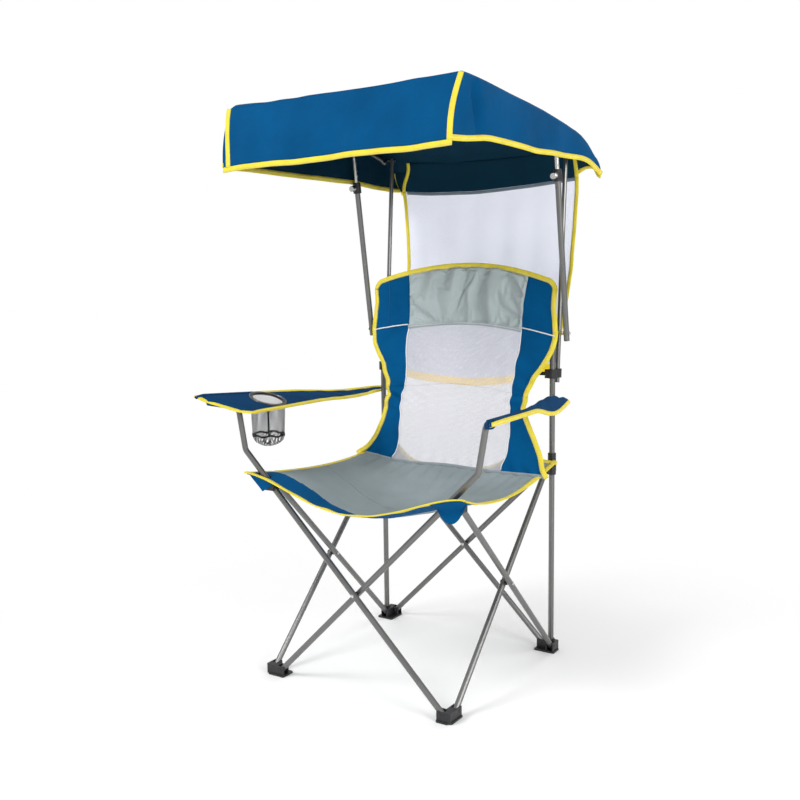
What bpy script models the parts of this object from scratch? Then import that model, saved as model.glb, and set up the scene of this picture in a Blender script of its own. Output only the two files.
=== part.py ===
"""A canopy camping chair: a four-sided scissor frame with a hung fabric seat and a tilting sun hood.

Chair frame used here: X runs from the sitter's right to the left as seen from the front,
Y runs from the front of the chair to its back, and Z is up, with the feet on Z = 0.
"""
import math

import bmesh
import bpy
import numpy as np
from mathutils import Matrix, Vector

# Legs and feet
FOOT_SPACING = 0.540
PIVOT_INSET = 0.0255
PIVOT_HEIGHT = 0.0186
LEG_LEAN = math.radians(45.3)
LEG_RADIUS = 0.0075
TUBE_WALL = 0.0011
CROSSING_GAP = 0.0030
END_OVERRUN = 0.0060
SLOT_CLEARANCE = 0.0005
SEAT_GAP = 0.0003
RIVET_RADIUS = 0.0025
RIVET_HEAD_RADIUS = 0.0046
RIVET_HEAD_HEIGHT = 0.0016
SPACER_RADIUS = 0.0068
FOOT_WALL = 0.0030
FOOT_ARM = 0.0101
FOOT_HALF_HEIGHT = 0.0085
BRACKET_ARM = 0.0100
BRACKET_TOP = 0.0050
FOOT_FLOOR = 0.0045
FOOT_FLANGE = 0.0024
FOOT_CHAMFER = 0.0110
MOULD_EDGE = 0.0010

# Arm posts, bent out of the front legs
ARM_BEND_OUT = 0.0875
ARM_POST_OUT = 0.020
ARM_TIP_OUT = 0.050
ARM_TIP_FORWARD = 0.062
ARM_BEND_RADIUS = 0.022

# Rear posts, sliders and collars
POST_RADIUS = 0.0075
POST_SETBACK = 0.006
POST_TOP = 0.985
SLIDER_HEIGHT = 0.058
SLIDER_WALL = 0.0030
SLIDER_DROP = 0.014
COLLAR_HEIGHT_AT = 0.760
COLLAR_LENGTH = 0.024
COLLAR_WALL = 0.0045
LEVER_LENGTH = 0.021
LEVER_THICKNESS = 0.0035
LEVER_WIDTH = 0.010
LEVER_PIN_RADIUS = 0.0020

# Canopy posts, side rails and struts
CANOPY_POST_RADIUS = 0.0060
CANOPY_POST_SETBACK = 0.0235
CANOPY_POST_OUTSET = 0.0040
CANOPY_POST_DROP = 0.025
CANOPY_POST_LEAN_SHARE = 0.075
RAIL_RADIUS = 0.0060
RAIL_OUTSET = 0.039
RAIL_FRONT = -0.300
RAIL_REAR_OVERRUN = 0.012
STRUT_RADIUS = 0.0076
STRUT_FOOT_AT = 0.868
STRUT_FOOT_OVERRUN = 0.020
STRUT_TOP_FORWARD = 0.081
ROD_RADIUS = 0.0057
ROD_INSIDE = 0.110
ROD_TOP_CLEARANCE = 0.0052
CLIP_HEIGHT = 0.030
CLIP_WALL = 0.0036
KNOB_RADIUS = 0.0085
KNOB_LENGTH = 0.0130
KNOB_STEM_RADIUS = 0.0028
KNOB_STEM_LENGTH = 0.0060
BOLT_RADIUS = 0.0024
BOLT_HEAD_RADIUS = 0.0052
BOLT_HEAD_HEIGHT = 0.0030
EAR_THICKNESS = 0.0018
EAR_LENGTH = 0.014
EAR_DROP = 0.016
RAIL_CAP_LENGTH = 0.012
RAIL_CAP_WALL = 0.0011

# Fabric
CLOTH = 0.0016
ROOF_HALF_WIDTH = 0.323
ROOF_FRONT = -0.314
ROOF_FRONT_HEIGHT = 1.4400
ROOF_SAG = 0.010
HEM_FRONT = -0.343
HEM_FRONT_DROP = 0.140
HEM_REAR = 0.452
HEM_REAR_DROP = 0.161
CURTAIN_TOP_HALF = 0.279
CURTAIN_GAP = 0.0018
CURTAIN_TOP_BACK = 0.408
CURTAIN_FOOT_HEIGHT = 0.785
SEAT_FRONT = -0.303
SEAT_REAR = 0.163
SEAT_CORNER_HALF = 0.318
SEAT_MID_HALF = 0.283
SEAT_REAR_HALF = 0.290
SEAT_FRONT_HEIGHT = 0.536
SEAT_REAR_HEIGHT = 0.514
SEAT_SIDE_SAG = 0.015
SEAT_FRONT_SAG = 0.072
SEAT_POCKET_SAG = 0.025
SEAT_REAR_SAG = 0.012
SEAT_CORNER_LIFT = 0.010
SEAT_SAG_POWER = 1.9
SLOT_MARGIN = 0.0030
BACK_TOP_HEIGHT = 1.004
BACK_CROWN = 0.050
BACK_BOW = 0.034
BACK_TOP_OUTSET = 0.022
BACK_FOOT_LIFT = 0.0010
PUCKER_DEPTH = 0.0035
PUCKER_COUNT = 6
POCKET_DEPTH = 0.046
POCKET_HALF = 0.040
ARM_INNER_HALF = 0.286
ARM_INNER_HEIGHT = 0.6888
ARM_SLOPE_SHARE = 0.30
ARM_FRONT = -0.294
ARM_TIP_FRONT = -0.354
ARM_TIP_MARGIN = 0.057
ARM_REAR = 0.300
ARM_REAR_WIDTH = 0.026
ARM_THICKNESS = 0.0030
ARM_SAG = 0.006
SLEEVE_INNER_HALF = 0.362
SLEEVE_TIP_HALF = 0.418
SLEEVE_FRONT = -0.312
SLEEVE_CROWN = 0.015
SLEEVE_EDGE_DROP = 0.0135
SLEEVE_TWIST_DROP = 0.020
CUP_HOLE_RADIUS = 0.0440
CUP_RING_WIDTH = 0.0060
CUP_RING_HEIGHT = 0.0024
CUP_POCKET_WALL = 0.0013
CUP_POCKET_DEPTH = 0.122

# Shares: places and widths as parts of the sizes above
STRUT_TUBE_SHARE = 0.7806
POCKET_TUCK_SHARE = 0.5
CUP_ACROSS_SHARE = 0.485
CUP_ALONG_SHARE = 0.2345
CUP_TAPER_SHARE = 0.90
SLEEVE_HOLD_SHARE = 0.86
SLEEVE_TIP_SHARE = 0.30
TWIST_AT_SHARE = 0.77
TWIST_REACH_SHARE = 0.27
ROOF_LINE_SHARES = ((0.0, 0.0), (0.21, -0.083), (0.39, -0.17), (0.58, -0.26),
                    (0.78, -0.43), (0.88, -0.62), (0.955, -0.85), (1.0, -1.0))
ROOF_BACK_SHARE = 0.955
ROOF_DROP_SHARE = 0.73
BACK_WIDTH_SHARES = ((0.0, 1.02), (0.04, 0.98), (0.14, 0.865), (0.24, 0.79), (0.34, 0.745),
                     (0.42, 0.76), (0.50, 0.83), (0.58, 0.93), (0.65, 0.985), (0.72, 1.0),
                     (0.86, 0.975), (0.94, 0.975), (1.0, 0.98))
BACK_LEAN_SHARES = ((0.0, 0.0), (0.37, 0.52), (0.72, 0.90), (1.0, 1.0))
CURTAIN_DEPTH_SHARES = ((0.0, 0.0), (0.20, -0.04), (0.37, -0.05), (0.545, 0.0), (0.70, 0.28),
                        (0.80, 0.53), (0.90, 0.82), (1.0, 1.0))
CURTAIN_WIDTH_SHARES = ((0.0, 0.965), (0.25, 0.945), (0.5, 0.945), (0.72, 0.975), (1.0, 1.0))

HOOD_CELLS = 8
ROUND_SIDES = 12
FINE_SIDES = 16
HOLE_SIDES = 8

PLASTIC_BLACK = "plastic_black"
TUBE_GREY = "steel_silver_grey"
STEEL_BRIGHT = "steel_bright"
FABRIC_BLUE = "polyester_blue"
FABRIC_NAVY = "polyester_navy"
FABRIC_GREY = "polyester_grey"
MESH_WHITE = "mesh_white"
MESH_DARK = "mesh_dark_grey"

# Derived places
HALF_FOOT = FOOT_SPACING / 2
HALF_SPAN = HALF_FOOT - PIVOT_INSET
JOINT_HEIGHT = PIVOT_HEIGHT + 2 * HALF_SPAN / math.tan(LEG_LEAN)
PLANE = LEG_RADIUS + CROSSING_GAP / 2
SLOT_HALF = LEG_RADIUS + SLOT_CLEARANCE
WALL_HALF = SLOT_HALF + FOOT_WALL
POST_X = HALF_FOOT
POST_Y = HALF_FOOT - POST_SETBACK
CANOPY_X = POST_X + CANOPY_POST_OUTSET
CANOPY_Y = POST_Y + CANOPY_POST_SETBACK
CANOPY_POST_FOOT = COLLAR_HEIGHT_AT - CANOPY_POST_DROP
RAIL_X = POST_X + RAIL_OUTSET
BACK_TOP_HALF = POST_X + BACK_TOP_OUTSET
ROOF_BACK = HEM_REAR - (HEM_REAR - ROOF_FRONT) * (1 - ROOF_BACK_SHARE)
HEM_FRONT_HEIGHT = ROOF_FRONT_HEIGHT - HEM_FRONT_DROP
HEM_REAR_HEIGHT = ROOF_FRONT_HEIGHT - HEM_REAR_DROP
ROOF_DROP = HEM_REAR_DROP * ROOF_DROP_SHARE
ARM_GRADE = math.hypot(1.0, ARM_SLOPE_SHARE)
ARM_TIP_HALF = ARM_INNER_HALF + 2 * CUP_HOLE_RADIUS + ARM_TIP_MARGIN
REACH_LEFT = -ARM_TIP_HALF
REACH_RIGHT = SLEEVE_TIP_HALF
REACH_FRONT = ARM_TIP_FRONT
REACH_REAR = HEM_REAR
CHAIR_X = -(REACH_LEFT + REACH_RIGHT) / 2
CHAIR_Y = -(REACH_FRONT + REACH_REAR) / 2

COLOURS = {
    PLASTIC_BLACK: ("26262a", 0.50, 0.0),
    TUBE_GREY: ("8e8d8b", 0.38, 0.55),
    STEEL_BRIGHT: ("b9b9b6", 0.25, 1.0),
    FABRIC_BLUE: ("0c5a98", 0.85, 0.0),
    FABRIC_NAVY: ("17415f", 0.85, 0.0),
    FABRIC_GREY: ("8b959b", 0.90, 0.0),
    MESH_WHITE: ("d8d9df", 0.85, 0.0),
    MESH_DARK: ("3a3c40", 0.85, 0.0),
}


# Scene and materials

for old in list(bpy.data.objects):
    bpy.data.objects.remove(old, do_unlink=True)


def new_collection(name):
    """A collection of that name under the scene."""
    made = bpy.data.collections.new(name)
    bpy.context.scene.collection.children.link(made)
    return made


PARTS = new_collection("canopy_camping_chair")
CUTTERS = new_collection("cutters")
MATERIALS = {}


def linear(channel):
    """One sRGB channel from 0 to 1 as a linear value."""
    return channel / 12.92 if channel <= 0.04045 else ((channel + 0.055) / 1.055) ** 2.4


def material(name):
    """The Principled material of that name, made once."""
    if name not in MATERIALS:
        code, roughness, metallic = COLOURS[name]
        colour = [linear(int(code[i:i + 2], 16) / 255) for i in (0, 2, 4)]
        made = bpy.data.materials.new(name)
        made.use_nodes = True
        shader = made.node_tree.nodes["Principled BSDF"]
        shader.inputs["Base Color"].default_value = (*colour, 1.0)
        shader.inputs["Roughness"].default_value = roughness
        shader.inputs["Metallic"].default_value = metallic
        MATERIALS[name] = made
    return MATERIALS[name]


def empty(name, location, parent=None):
    """An empty that carries pieces, for instance on a joint's axis."""
    made = bpy.data.objects.new(name, None)
    PARTS.objects.link(made)
    made.location = location
    made.parent = parent
    return made


CHAIR = empty("chair_frame", (CHAIR_X, CHAIR_Y, 0))


def keep(obj, finish, parent=CHAIR, smooth=True):
    """Files the object as a piece of the chair, with its material and parent."""
    for holder in list(obj.users_collection):
        holder.objects.unlink(obj)
    PARTS.objects.link(obj)
    obj.parent = parent
    obj.data.materials.clear()
    obj.data.materials.append(material(finish))
    if smooth:
        obj.data.shade_smooth()
        if hasattr(obj.data, "set_sharp_from_angle"):
            obj.data.set_sharp_from_angle(angle=math.radians(40))
    return obj


def as_tool(obj, parent=CHAIR):
    """Files the object as a cutter or a joined body that isn't shown itself."""
    for holder in list(obj.users_collection):
        holder.objects.unlink(obj)
    CUTTERS.objects.link(obj)
    obj.parent = parent
    obj.hide_render = True
    obj.display_type = "WIRE"
    return obj


# Modelling tools

def object_from(bm, name, location=(0, 0, 0)):
    """A mesh object from a bmesh."""
    mesh = bpy.data.meshes.new(name)
    bm.to_mesh(mesh)
    bm.free()
    obj = bpy.data.objects.new(name, mesh)
    obj.location = location
    PARTS.objects.link(obj)
    return obj


def box(name, low, high):
    """A cube stretched between two corners, with its origin at its middle."""
    low = Vector(low)
    high = Vector(high)
    bm = bmesh.new()
    bmesh.ops.create_cube(bm, size=1.0)
    bmesh.ops.scale(bm, vec=high - low, verts=bm.verts)
    return object_from(bm, name, (low + high) / 2)


def cylinder(name, radius, start, end, sides=ROUND_SIDES, end_radius=None):
    """A cylinder or cone between two points, with its origin at its middle."""
    start = Vector(start)
    end = Vector(end)
    span = end - start
    bm = bmesh.new()
    bmesh.ops.create_cone(bm, cap_ends=True, segments=sides, radius1=radius,
                          radius2=radius if end_radius is None else end_radius, depth=span.length)
    obj = object_from(bm, name, (start + end) / 2)
    obj.rotation_mode = "QUATERNION"
    obj.rotation_quaternion = Vector((0, 0, 1)).rotation_difference(span)
    return obj


def turned(name, profile, origin, axis, sides=ROUND_SIDES):
    """A profile of (radius, distance) points, from top to bottom, turned about an axis.

    A profile that ends where it began is a closed ring. The way it runs round says which side is out.
    """
    bm = bmesh.new()
    closed = profile[0] == profile[-1]
    points = [bm.verts.new((radius, 0, along)) for radius, along in (profile[:-1] if closed else profile)]
    if closed:
        points.append(points[0])
    for first, second in zip(points, points[1:]):
        bm.edges.new((first, second))
    obj = object_from(bm, name, origin)
    obj.rotation_mode = "QUATERNION"
    obj.rotation_quaternion = Vector((0, 0, 1)).rotation_difference(Vector(axis))
    screw = obj.modifiers.new("turn", "SCREW")
    screw.steps = sides
    screw.render_steps = sides
    screw.use_merge_vertices = True
    screw.merge_threshold = 0.00001
    area = sum(a[0] * b[1] - b[0] * a[1] for a, b in zip(profile, profile[1:]))
    screw.use_normal_flip = area > 0
    return obj


def rounded_path(corners, radius, steps=4):
    """The corner points with each inner corner replaced by an arc of the given radius."""
    corners = [Vector(c) for c in corners]
    path = [corners[0]]
    for before, corner, after in zip(corners, corners[1:], corners[2:]):
        into = (before - corner).normalized()
        out = (after - corner).normalized()
        half = into.angle(out) / 2
        reach = radius / math.tan(half)
        middle = corner + (into + out).normalized() * (radius / math.sin(half))
        start = corner + into * reach - middle
        end = corner + out * reach - middle
        turn = start.angle(end)
        axis = start.cross(end)
        for i in range(steps + 1):
            path.append(middle + Matrix.Rotation(turn * i / steps, 3, axis) @ start)
    path.append(corners[-1])
    return path


def curve_mesh(name, points, radius, sides, caps):
    """A round bar or open skin along a path, as a mesh."""
    data = bpy.data.curves.new(name, "CURVE")
    data.dimensions = "3D"
    data.bevel_depth = radius
    data.bevel_resolution = sides // 2 - 2
    data.use_fill_caps = caps
    line = data.splines.new("POLY")
    line.points.add(len(points) - 1)
    for slot, point in zip(line.points, points):
        slot.co = (*point, 1.0)
    holder = bpy.data.objects.new(name, data)
    bpy.context.scene.collection.objects.link(holder)
    bpy.context.view_layer.update()
    mesh = bpy.data.meshes.new_from_object(holder.evaluated_get(bpy.context.evaluated_depsgraph_get()))
    bpy.data.objects.remove(holder, do_unlink=True)
    bpy.data.curves.remove(data)
    bm = bmesh.new()
    bm.from_mesh(mesh)
    bmesh.ops.remove_doubles(bm, verts=bm.verts, dist=radius / 1000)
    bmesh.ops.recalc_face_normals(bm, faces=bm.faces)
    bm.to_mesh(mesh)
    bm.free()
    return mesh


def place_on(obj, pivot):
    """Moves the object's origin to the pivot without moving its shape."""
    obj.data.transform(Matrix.Translation(-Vector(pivot)))
    obj.location = pivot
    return obj


def bar(name, points, radius, pivot=None, sides=ROUND_SIDES):
    """A solid round bar along a path."""
    obj = bpy.data.objects.new(name, curve_mesh(name, points, radius, sides, True))
    PARTS.objects.link(obj)
    return place_on(obj, pivot if pivot is not None else points[0])


def outward(bm, axis_points):
    """Turns the faces of an open skin away from the line it surrounds."""
    line = [Vector(p) for p in axis_points]
    face = max(bm.faces, key=lambda f: f.calc_area())
    centre = face.calc_center_median()
    spots = []
    for start, end in zip(line, line[1:]):
        span = end - start
        share = max(0.0, min(1.0, (centre - start).dot(span) / span.length_squared))
        spots.append(start + span * share)
    nearest = min(spots, key=lambda s: (centre - s).length)
    if face.normal.dot(centre - nearest) < 0:
        bmesh.ops.reverse_faces(bm, faces=bm.faces)


def tube(name, points, radius, pivot=None, sides=ROUND_SIDES, wall=TUBE_WALL):
    """A thin-walled tube along a path, open at both ends."""
    mesh = curve_mesh(name, points, radius, sides, False)
    bm = bmesh.new()
    bm.from_mesh(mesh)
    outward(bm, points)
    bm.to_mesh(mesh)
    bm.free()
    obj = bpy.data.objects.new(name, mesh)
    PARTS.objects.link(obj)
    shell = obj.modifiers.new("wall", "SOLIDIFY")
    shell.thickness = wall
    shell.offset = -1.0
    return place_on(obj, pivot if pivot is not None else points[0])


def boolean(obj, tool, operation):
    """Cuts or joins with a tool, with the exact solver."""
    step = obj.modifiers.new(operation.lower(), "BOOLEAN")
    step.operation = operation
    step.solver = "EXACT"
    step.object = tool
    return obj


def cut(obj, tool, parent=CHAIR):
    """Cuts the tool out of the object."""
    return boolean(obj, as_tool(tool, parent), "DIFFERENCE")


def add(obj, tool, parent=CHAIR):
    """Joins the tool to the object."""
    return boolean(obj, as_tool(tool, parent), "UNION")


def outline_plate(name, outline, thickness, location):
    """A flat outline in the XY plane with a thickness above and below it."""
    data = bpy.data.curves.new(name, "CURVE")
    data.dimensions = "2D"
    data.fill_mode = "BOTH"
    data.extrude = thickness / 2
    line = data.splines.new("POLY")
    line.points.add(len(outline) - 1)
    for slot, (x, y) in zip(line.points, outline):
        slot.co = (x, y, 0.0, 1.0)
    line.use_cyclic_u = True
    holder = bpy.data.objects.new(name, data)
    bpy.context.scene.collection.objects.link(holder)
    bpy.context.view_layer.update()
    mesh = bpy.data.meshes.new_from_object(holder.evaluated_get(bpy.context.evaluated_depsgraph_get()))
    bpy.data.objects.remove(holder, do_unlink=True)
    bm = bmesh.new()
    bm.from_mesh(mesh)
    bmesh.ops.remove_doubles(bm, verts=bm.verts, dist=thickness / 1000)
    bmesh.ops.recalc_face_normals(bm, faces=bm.faces)
    return object_from(bm, name, location)


def cloth(name, surface, across, along, thickness=CLOTH):
    """A fabric sheet: a grid laid on surface(s, t), both from 0 to 1, with the cloth's thickness."""
    bm = bmesh.new()
    bmesh.ops.create_grid(bm, x_segments=across, y_segments=along, size=0.5)
    for vert in bm.verts:
        vert.co = surface(vert.co.x + 0.5, vert.co.y + 0.5)
    obj = object_from(bm, name)
    body = obj.modifiers.new("thickness", "SOLIDIFY")
    body.thickness = thickness
    body.offset = 0.0
    return obj


def along_shares(table, share):
    """Reads a table of (place, value) shares smoothly at one place."""
    places = [row[0] for row in table]
    values = [row[1] for row in table]
    return float(np.interp(share, places, values))


def smooth_shares(table, share, reach=0.04):
    """The same table, averaged over a short reach so that the outline has no corners."""
    spots = (share - reach, share - reach / 2, share, share + reach / 2, share + reach)
    return sum(along_shares(table, spot) for spot in spots) / len(spots)


# Scissor tubes

def leg_ends(plane_axis, plane, start, end):
    """The points of a straight scissor tube from its lower pivot to its upper one, past both."""
    run = Vector((math.sin(LEG_LEAN), 0, math.cos(LEG_LEAN)))
    side = 1 if end > start else -1
    low = Vector((start, plane, PIVOT_HEIGHT))
    high = Vector((end, plane, JOINT_HEIGHT))
    step = Vector((run.x * side, 0, run.z)) * END_OVERRUN
    points = [low - step, high + step]
    if plane_axis == "x":
        points = [Vector((p.y, p.x, p.z)) for p in points]
        low = Vector((low.y, low.x, low.z))
        high = Vector((high.y, high.x, high.z))
    return points, low, high


def rivet_hole(obj, centre, axis):
    """Drills the hole of a rivet or pivot pin through a tube."""
    centre = Vector(centre)
    reach = Vector(axis) * (LEG_RADIUS + CROSSING_GAP)
    hole = cylinder(obj.name + "_hole", RIVET_RADIUS + SEAT_GAP, centre - reach, centre + reach, HOLE_SIDES)
    return cut(obj, hole)


CROSS_HEIGHT = (PIVOT_HEIGHT + JOINT_HEIGHT) / 2


def scissor_tube(name, plane_axis, plane, start, end):
    """One straight scissor tube with its rivet hole and a pin hole at each end."""
    points, low, high = leg_ends(plane_axis, plane, start, end)
    obj = tube(name, points, LEG_RADIUS, pivot=low)
    for centre in (low, (low + high) / 2, high):
        rivet_hole(obj, centre, (0, 1, 0) if plane_axis == "y" else (1, 0, 0))
    return keep(obj, TUBE_GREY)


FRONT_Y = -HALF_FOOT
REAR_Y = HALF_FOOT


def arm_surface(x):
    """Height of the middle of the armrest fabric at a distance from the chair's middle."""
    return ARM_INNER_HEIGHT + ARM_SLOPE_SHARE * (abs(x) - ARM_INNER_HALF)


def front_tube(name, side, plane):
    """A front leg that runs on past its upper pivot and bends up into the arm post."""
    low = Vector((-side * HALF_SPAN, plane, PIVOT_HEIGHT))
    joint = Vector((side * HALF_SPAN, plane, JOINT_HEIGHT))
    run = Vector((side * math.sin(LEG_LEAN), 0, math.cos(LEG_LEAN)))
    bend = joint + run * (ARM_BEND_OUT / math.sin(LEG_LEAN))
    under = (LEG_RADIUS + ARM_THICKNESS / 2 + SEAT_GAP) * ARM_GRADE
    top_x = abs(bend.x) + ARM_POST_OUT
    top = Vector((side * top_x, plane, arm_surface(top_x) - under))
    tip_x = top_x + ARM_TIP_OUT
    tip = Vector((side * tip_x, FRONT_Y - ARM_TIP_FORWARD, arm_surface(tip_x) - under))
    points = rounded_path([low - run * END_OVERRUN, bend, top, tip], ARM_BEND_RADIUS)
    obj = tube(name, points, LEG_RADIUS, pivot=low)
    for centre in (low, (low + joint) / 2, joint):
        rivet_hole(obj, centre, (0, 1, 0))
    return keep(obj, TUBE_GREY)


front_tube("front_tube_left", -1, FRONT_Y - PLANE)
front_tube("front_tube_right", 1, FRONT_Y + PLANE)
scissor_tube("side_tube_left_outer", "x", -HALF_FOOT - PLANE, -HALF_SPAN, HALF_SPAN)
scissor_tube("side_tube_left_inner", "x", -HALF_FOOT + PLANE, HALF_SPAN, -HALF_SPAN)
scissor_tube("side_tube_right_inner", "x", HALF_FOOT - PLANE, -HALF_SPAN, HALF_SPAN)
scissor_tube("side_tube_right_outer", "x", HALF_FOOT + PLANE, HALF_SPAN, -HALF_SPAN)
scissor_tube("back_tube_rear", "y", REAR_Y + PLANE, -HALF_SPAN, HALF_SPAN)
scissor_tube("back_tube_front", "y", REAR_Y - PLANE, HALF_SPAN, -HALF_SPAN)


# Crossing rivets and their plastic spacers

def headed_pin(name, centre, axis, reach):
    """A round pin with a low domed head past the reach on either side."""
    crown = reach + RIVET_HEAD_HEIGHT
    edge = reach + RIVET_HEAD_HEIGHT / 2
    profile = [(0, crown), (RIVET_HEAD_RADIUS, edge), (RIVET_HEAD_RADIUS, reach), (RIVET_RADIUS, reach),
               (RIVET_RADIUS, -reach), (RIVET_HEAD_RADIUS, -reach), (RIVET_HEAD_RADIUS, -edge), (0, -crown)]
    return turned(name, profile, centre, axis, HOLE_SIDES)


def rivet(name, centre, axis):
    """A two-headed rivet through both tubes, its shank a little loose in them."""
    return keep(headed_pin(name, centre, axis, PLANE + LEG_RADIUS + SEAT_GAP), STEEL_BRIGHT)


def spacer(name, centre, axis):
    """The black washer that keeps the two crossing tubes apart."""
    half = CROSSING_GAP / 2 - SEAT_GAP
    bore = RIVET_RADIUS + SEAT_GAP
    profile = [(bore, half), (SPACER_RADIUS, half), (SPACER_RADIUS, -half), (bore, -half), (bore, half)]
    return keep(turned(name, profile, centre, axis, 12), PLASTIC_BLACK)


CROSSINGS = (
    ("front", (0, FRONT_Y, CROSS_HEIGHT), (0, 1, 0)),
    ("back", (0, REAR_Y, CROSS_HEIGHT), (0, 1, 0)),
    ("side_left", (-HALF_FOOT, 0, CROSS_HEIGHT), (1, 0, 0)),
    ("side_right", (HALF_FOOT, 0, CROSS_HEIGHT), (1, 0, 0)),
)
for place, middle, line in CROSSINGS:
    rivet("rivet_" + place, middle, line)
    spacer("spacer_" + place, middle, line)


# Moulded brackets: feet, sliders and front corners share one slotted elbow

def chamfered(low, high, chamfer, outer):
    """A square outline whose outer corner is cut off, and whose other corners are cut less."""
    cuts = {(-1, -1): chamfer / 4, (1, -1): chamfer / 4, (1, 1): chamfer / 4, (-1, 1): chamfer / 4}
    cuts[outer] = chamfer
    points = []
    for sx, sy, first in ((-1, -1, "y"), (1, -1, "x"), (1, 1, "y"), (-1, 1, "x")):
        x = high[0] if sx > 0 else low[0]
        y = high[1] if sy > 0 else low[1]
        inset = cuts[(sx, sy)]
        beside_x = (x - sx * inset, y)
        beside_y = (x, y - sy * inset)
        points += [beside_y, beside_x] if first == "y" else [beside_x, beside_y]
    return points


def corner_spot(sx, sy, u, v, z):
    """A point by its distances inward along X and Y from the foot's centre."""
    return Vector((sx * (u - HALF_FOOT), sy * (v - HALF_FOOT), z))


def elbow(name, sx, sy, x_plane, y_plane, low, high, arm=FOOT_ARM):
    """A bracket with one slot for the tube in the XZ plane and one for the tube in the YZ plane.

    sx and sy point from the corner towards the chair's middle.
    """
    near = PIVOT_INSET - FOOT_ARM
    far = PIVOT_INSET + arm
    bevel = FOOT_WALL - MOULD_EDGE
    outline = [(x_plane - WALL_HALF + bevel, y_plane - WALL_HALF), (far - bevel / 2, y_plane - WALL_HALF),
               (far, y_plane - WALL_HALF + bevel / 2), (far, y_plane - SLOT_HALF),
               (near, y_plane - SLOT_HALF), (near, y_plane + SLOT_HALF),
               (far, y_plane + SLOT_HALF), (far, y_plane + WALL_HALF),
               (x_plane + WALL_HALF, y_plane + WALL_HALF),
               (x_plane + WALL_HALF, far), (x_plane + SLOT_HALF, far), (x_plane + SLOT_HALF, near),
               (x_plane - SLOT_HALF, near), (x_plane - SLOT_HALF, far),
               (x_plane - WALL_HALF + bevel / 2, far), (x_plane - WALL_HALF, far - bevel / 2),
               (x_plane - WALL_HALF, y_plane - WALL_HALF + bevel)]
    centre = corner_spot(sx, sy, 0, 0, (low + high) / 2)
    return outline_plate(name, [(sx * u, sy * v) for u, v in outline], high - low, centre)


def add_pins(body, sx, sy, x_plane, y_plane, z, heads=True):
    """The two pivot pins across a bracket's slots, with heads outside its walls or hidden in them."""
    spots = (("x", x_plane, PIVOT_INSET, (1, 0, 0)), ("y", PIVOT_INSET, y_plane, (0, 1, 0)))
    for word, u, v, axis in spots:
        centre = corner_spot(sx, sy, u, v, z)
        name = body.name + "_pin_" + word
        if heads:
            add(body, headed_pin(name, centre, axis, WALL_HALF - SEAT_GAP))
        else:
            reach = Vector(axis) * (SLOT_HALF + FOOT_WALL / 2)
            add(body, cylinder(name, RIVET_RADIUS, centre - reach, centre + reach, HOLE_SIDES))
    return body


def foot(name, sx, sy, x_plane, y_plane, post):
    """A foot: a floor plate with a flange, the slotted elbow on it, and the post's socket."""
    top = PIVOT_HEIGHT + FOOT_HALF_HEIGHT
    body = elbow(name, sx, sy, x_plane, y_plane, FOOT_FLOOR / 2, top)
    reach = PIVOT_INSET + FOOT_ARM + FOOT_FLANGE / 2
    rim_x = WALL_HALF - x_plane + FOOT_FLANGE
    rim_y = WALL_HALF - y_plane + FOOT_FLANGE
    if post:
        sleeve = POST_RADIUS + SEAT_GAP + FOOT_WALL
        rim_x = max(rim_x, sleeve + FOOT_FLANGE)
        rim_y = max(rim_y, sleeve + FOOT_FLANGE - POST_SETBACK)
    low = (-rim_x if sx > 0 else -reach, -rim_y if sy > 0 else -reach)
    high = (reach if sx > 0 else rim_x, reach if sy > 0 else rim_y)
    plate = outline_plate(name + "_plate", chamfered(low, high, FOOT_CHAMFER, (-sx, -sy)),
                          FOOT_FLOOR, corner_spot(sx, sy, 0, 0, FOOT_FLOOR / 2))
    add(body, plate)
    if post:
        middle = corner_spot(sx, sy, 0, POST_SETBACK, 0)
        add(body, cylinder(name + "_socket", sleeve, middle + Vector((0, 0, FOOT_FLOOR / 2)),
                           middle + Vector((0, 0, top + FOOT_WALL)), ROUND_SIDES))
        cut(body, cylinder(name + "_bore", POST_RADIUS + SEAT_GAP, middle + Vector((0, 0, FOOT_FLOOR)),
                           middle + Vector((0, 0, top + 2 * FOOT_WALL)), ROUND_SIDES))
    add_pins(body, sx, sy, x_plane, y_plane, PIVOT_HEIGHT)
    return keep(body, PLASTIC_BLACK)


foot("foot_front_left", 1, 1, -PLANE, PLANE, False)
foot("foot_front_right", -1, 1, PLANE, -PLANE, False)
foot("foot_rear_right", -1, -1, -PLANE, PLANE, True)
foot("foot_rear_left", 1, -1, PLANE, -PLANE, True)


def slider(name, sx, x_plane, y_plane):
    """A sleeve that runs up the rear post and carries the tops of a side tube and a back tube."""
    body = elbow(name, sx, -1, x_plane, y_plane, JOINT_HEIGHT - FOOT_HALF_HEIGHT,
                 JOINT_HEIGHT + FOOT_HALF_HEIGHT)
    foot_z = JOINT_HEIGHT - SLIDER_DROP
    low = corner_spot(sx, -1, 0, POST_SETBACK, foot_z)
    high = corner_spot(sx, -1, 0, POST_SETBACK, foot_z + SLIDER_HEIGHT)
    over = Vector((0, 0, FOOT_WALL))
    add(body, cylinder(name + "_sleeve", POST_RADIUS + SLOT_CLEARANCE + SLIDER_WALL, low, high, ROUND_SIDES))
    cut(body, cylinder(name + "_bore", POST_RADIUS + SLOT_CLEARANCE, low - over, high + over, ROUND_SIDES))
    add_pins(body, sx, -1, x_plane, y_plane, JOINT_HEIGHT)
    return keep(body, PLASTIC_BLACK)


slider("slider_left", 1, -PLANE, PLANE)
slider("slider_right", -1, PLANE, -PLANE)


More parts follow.
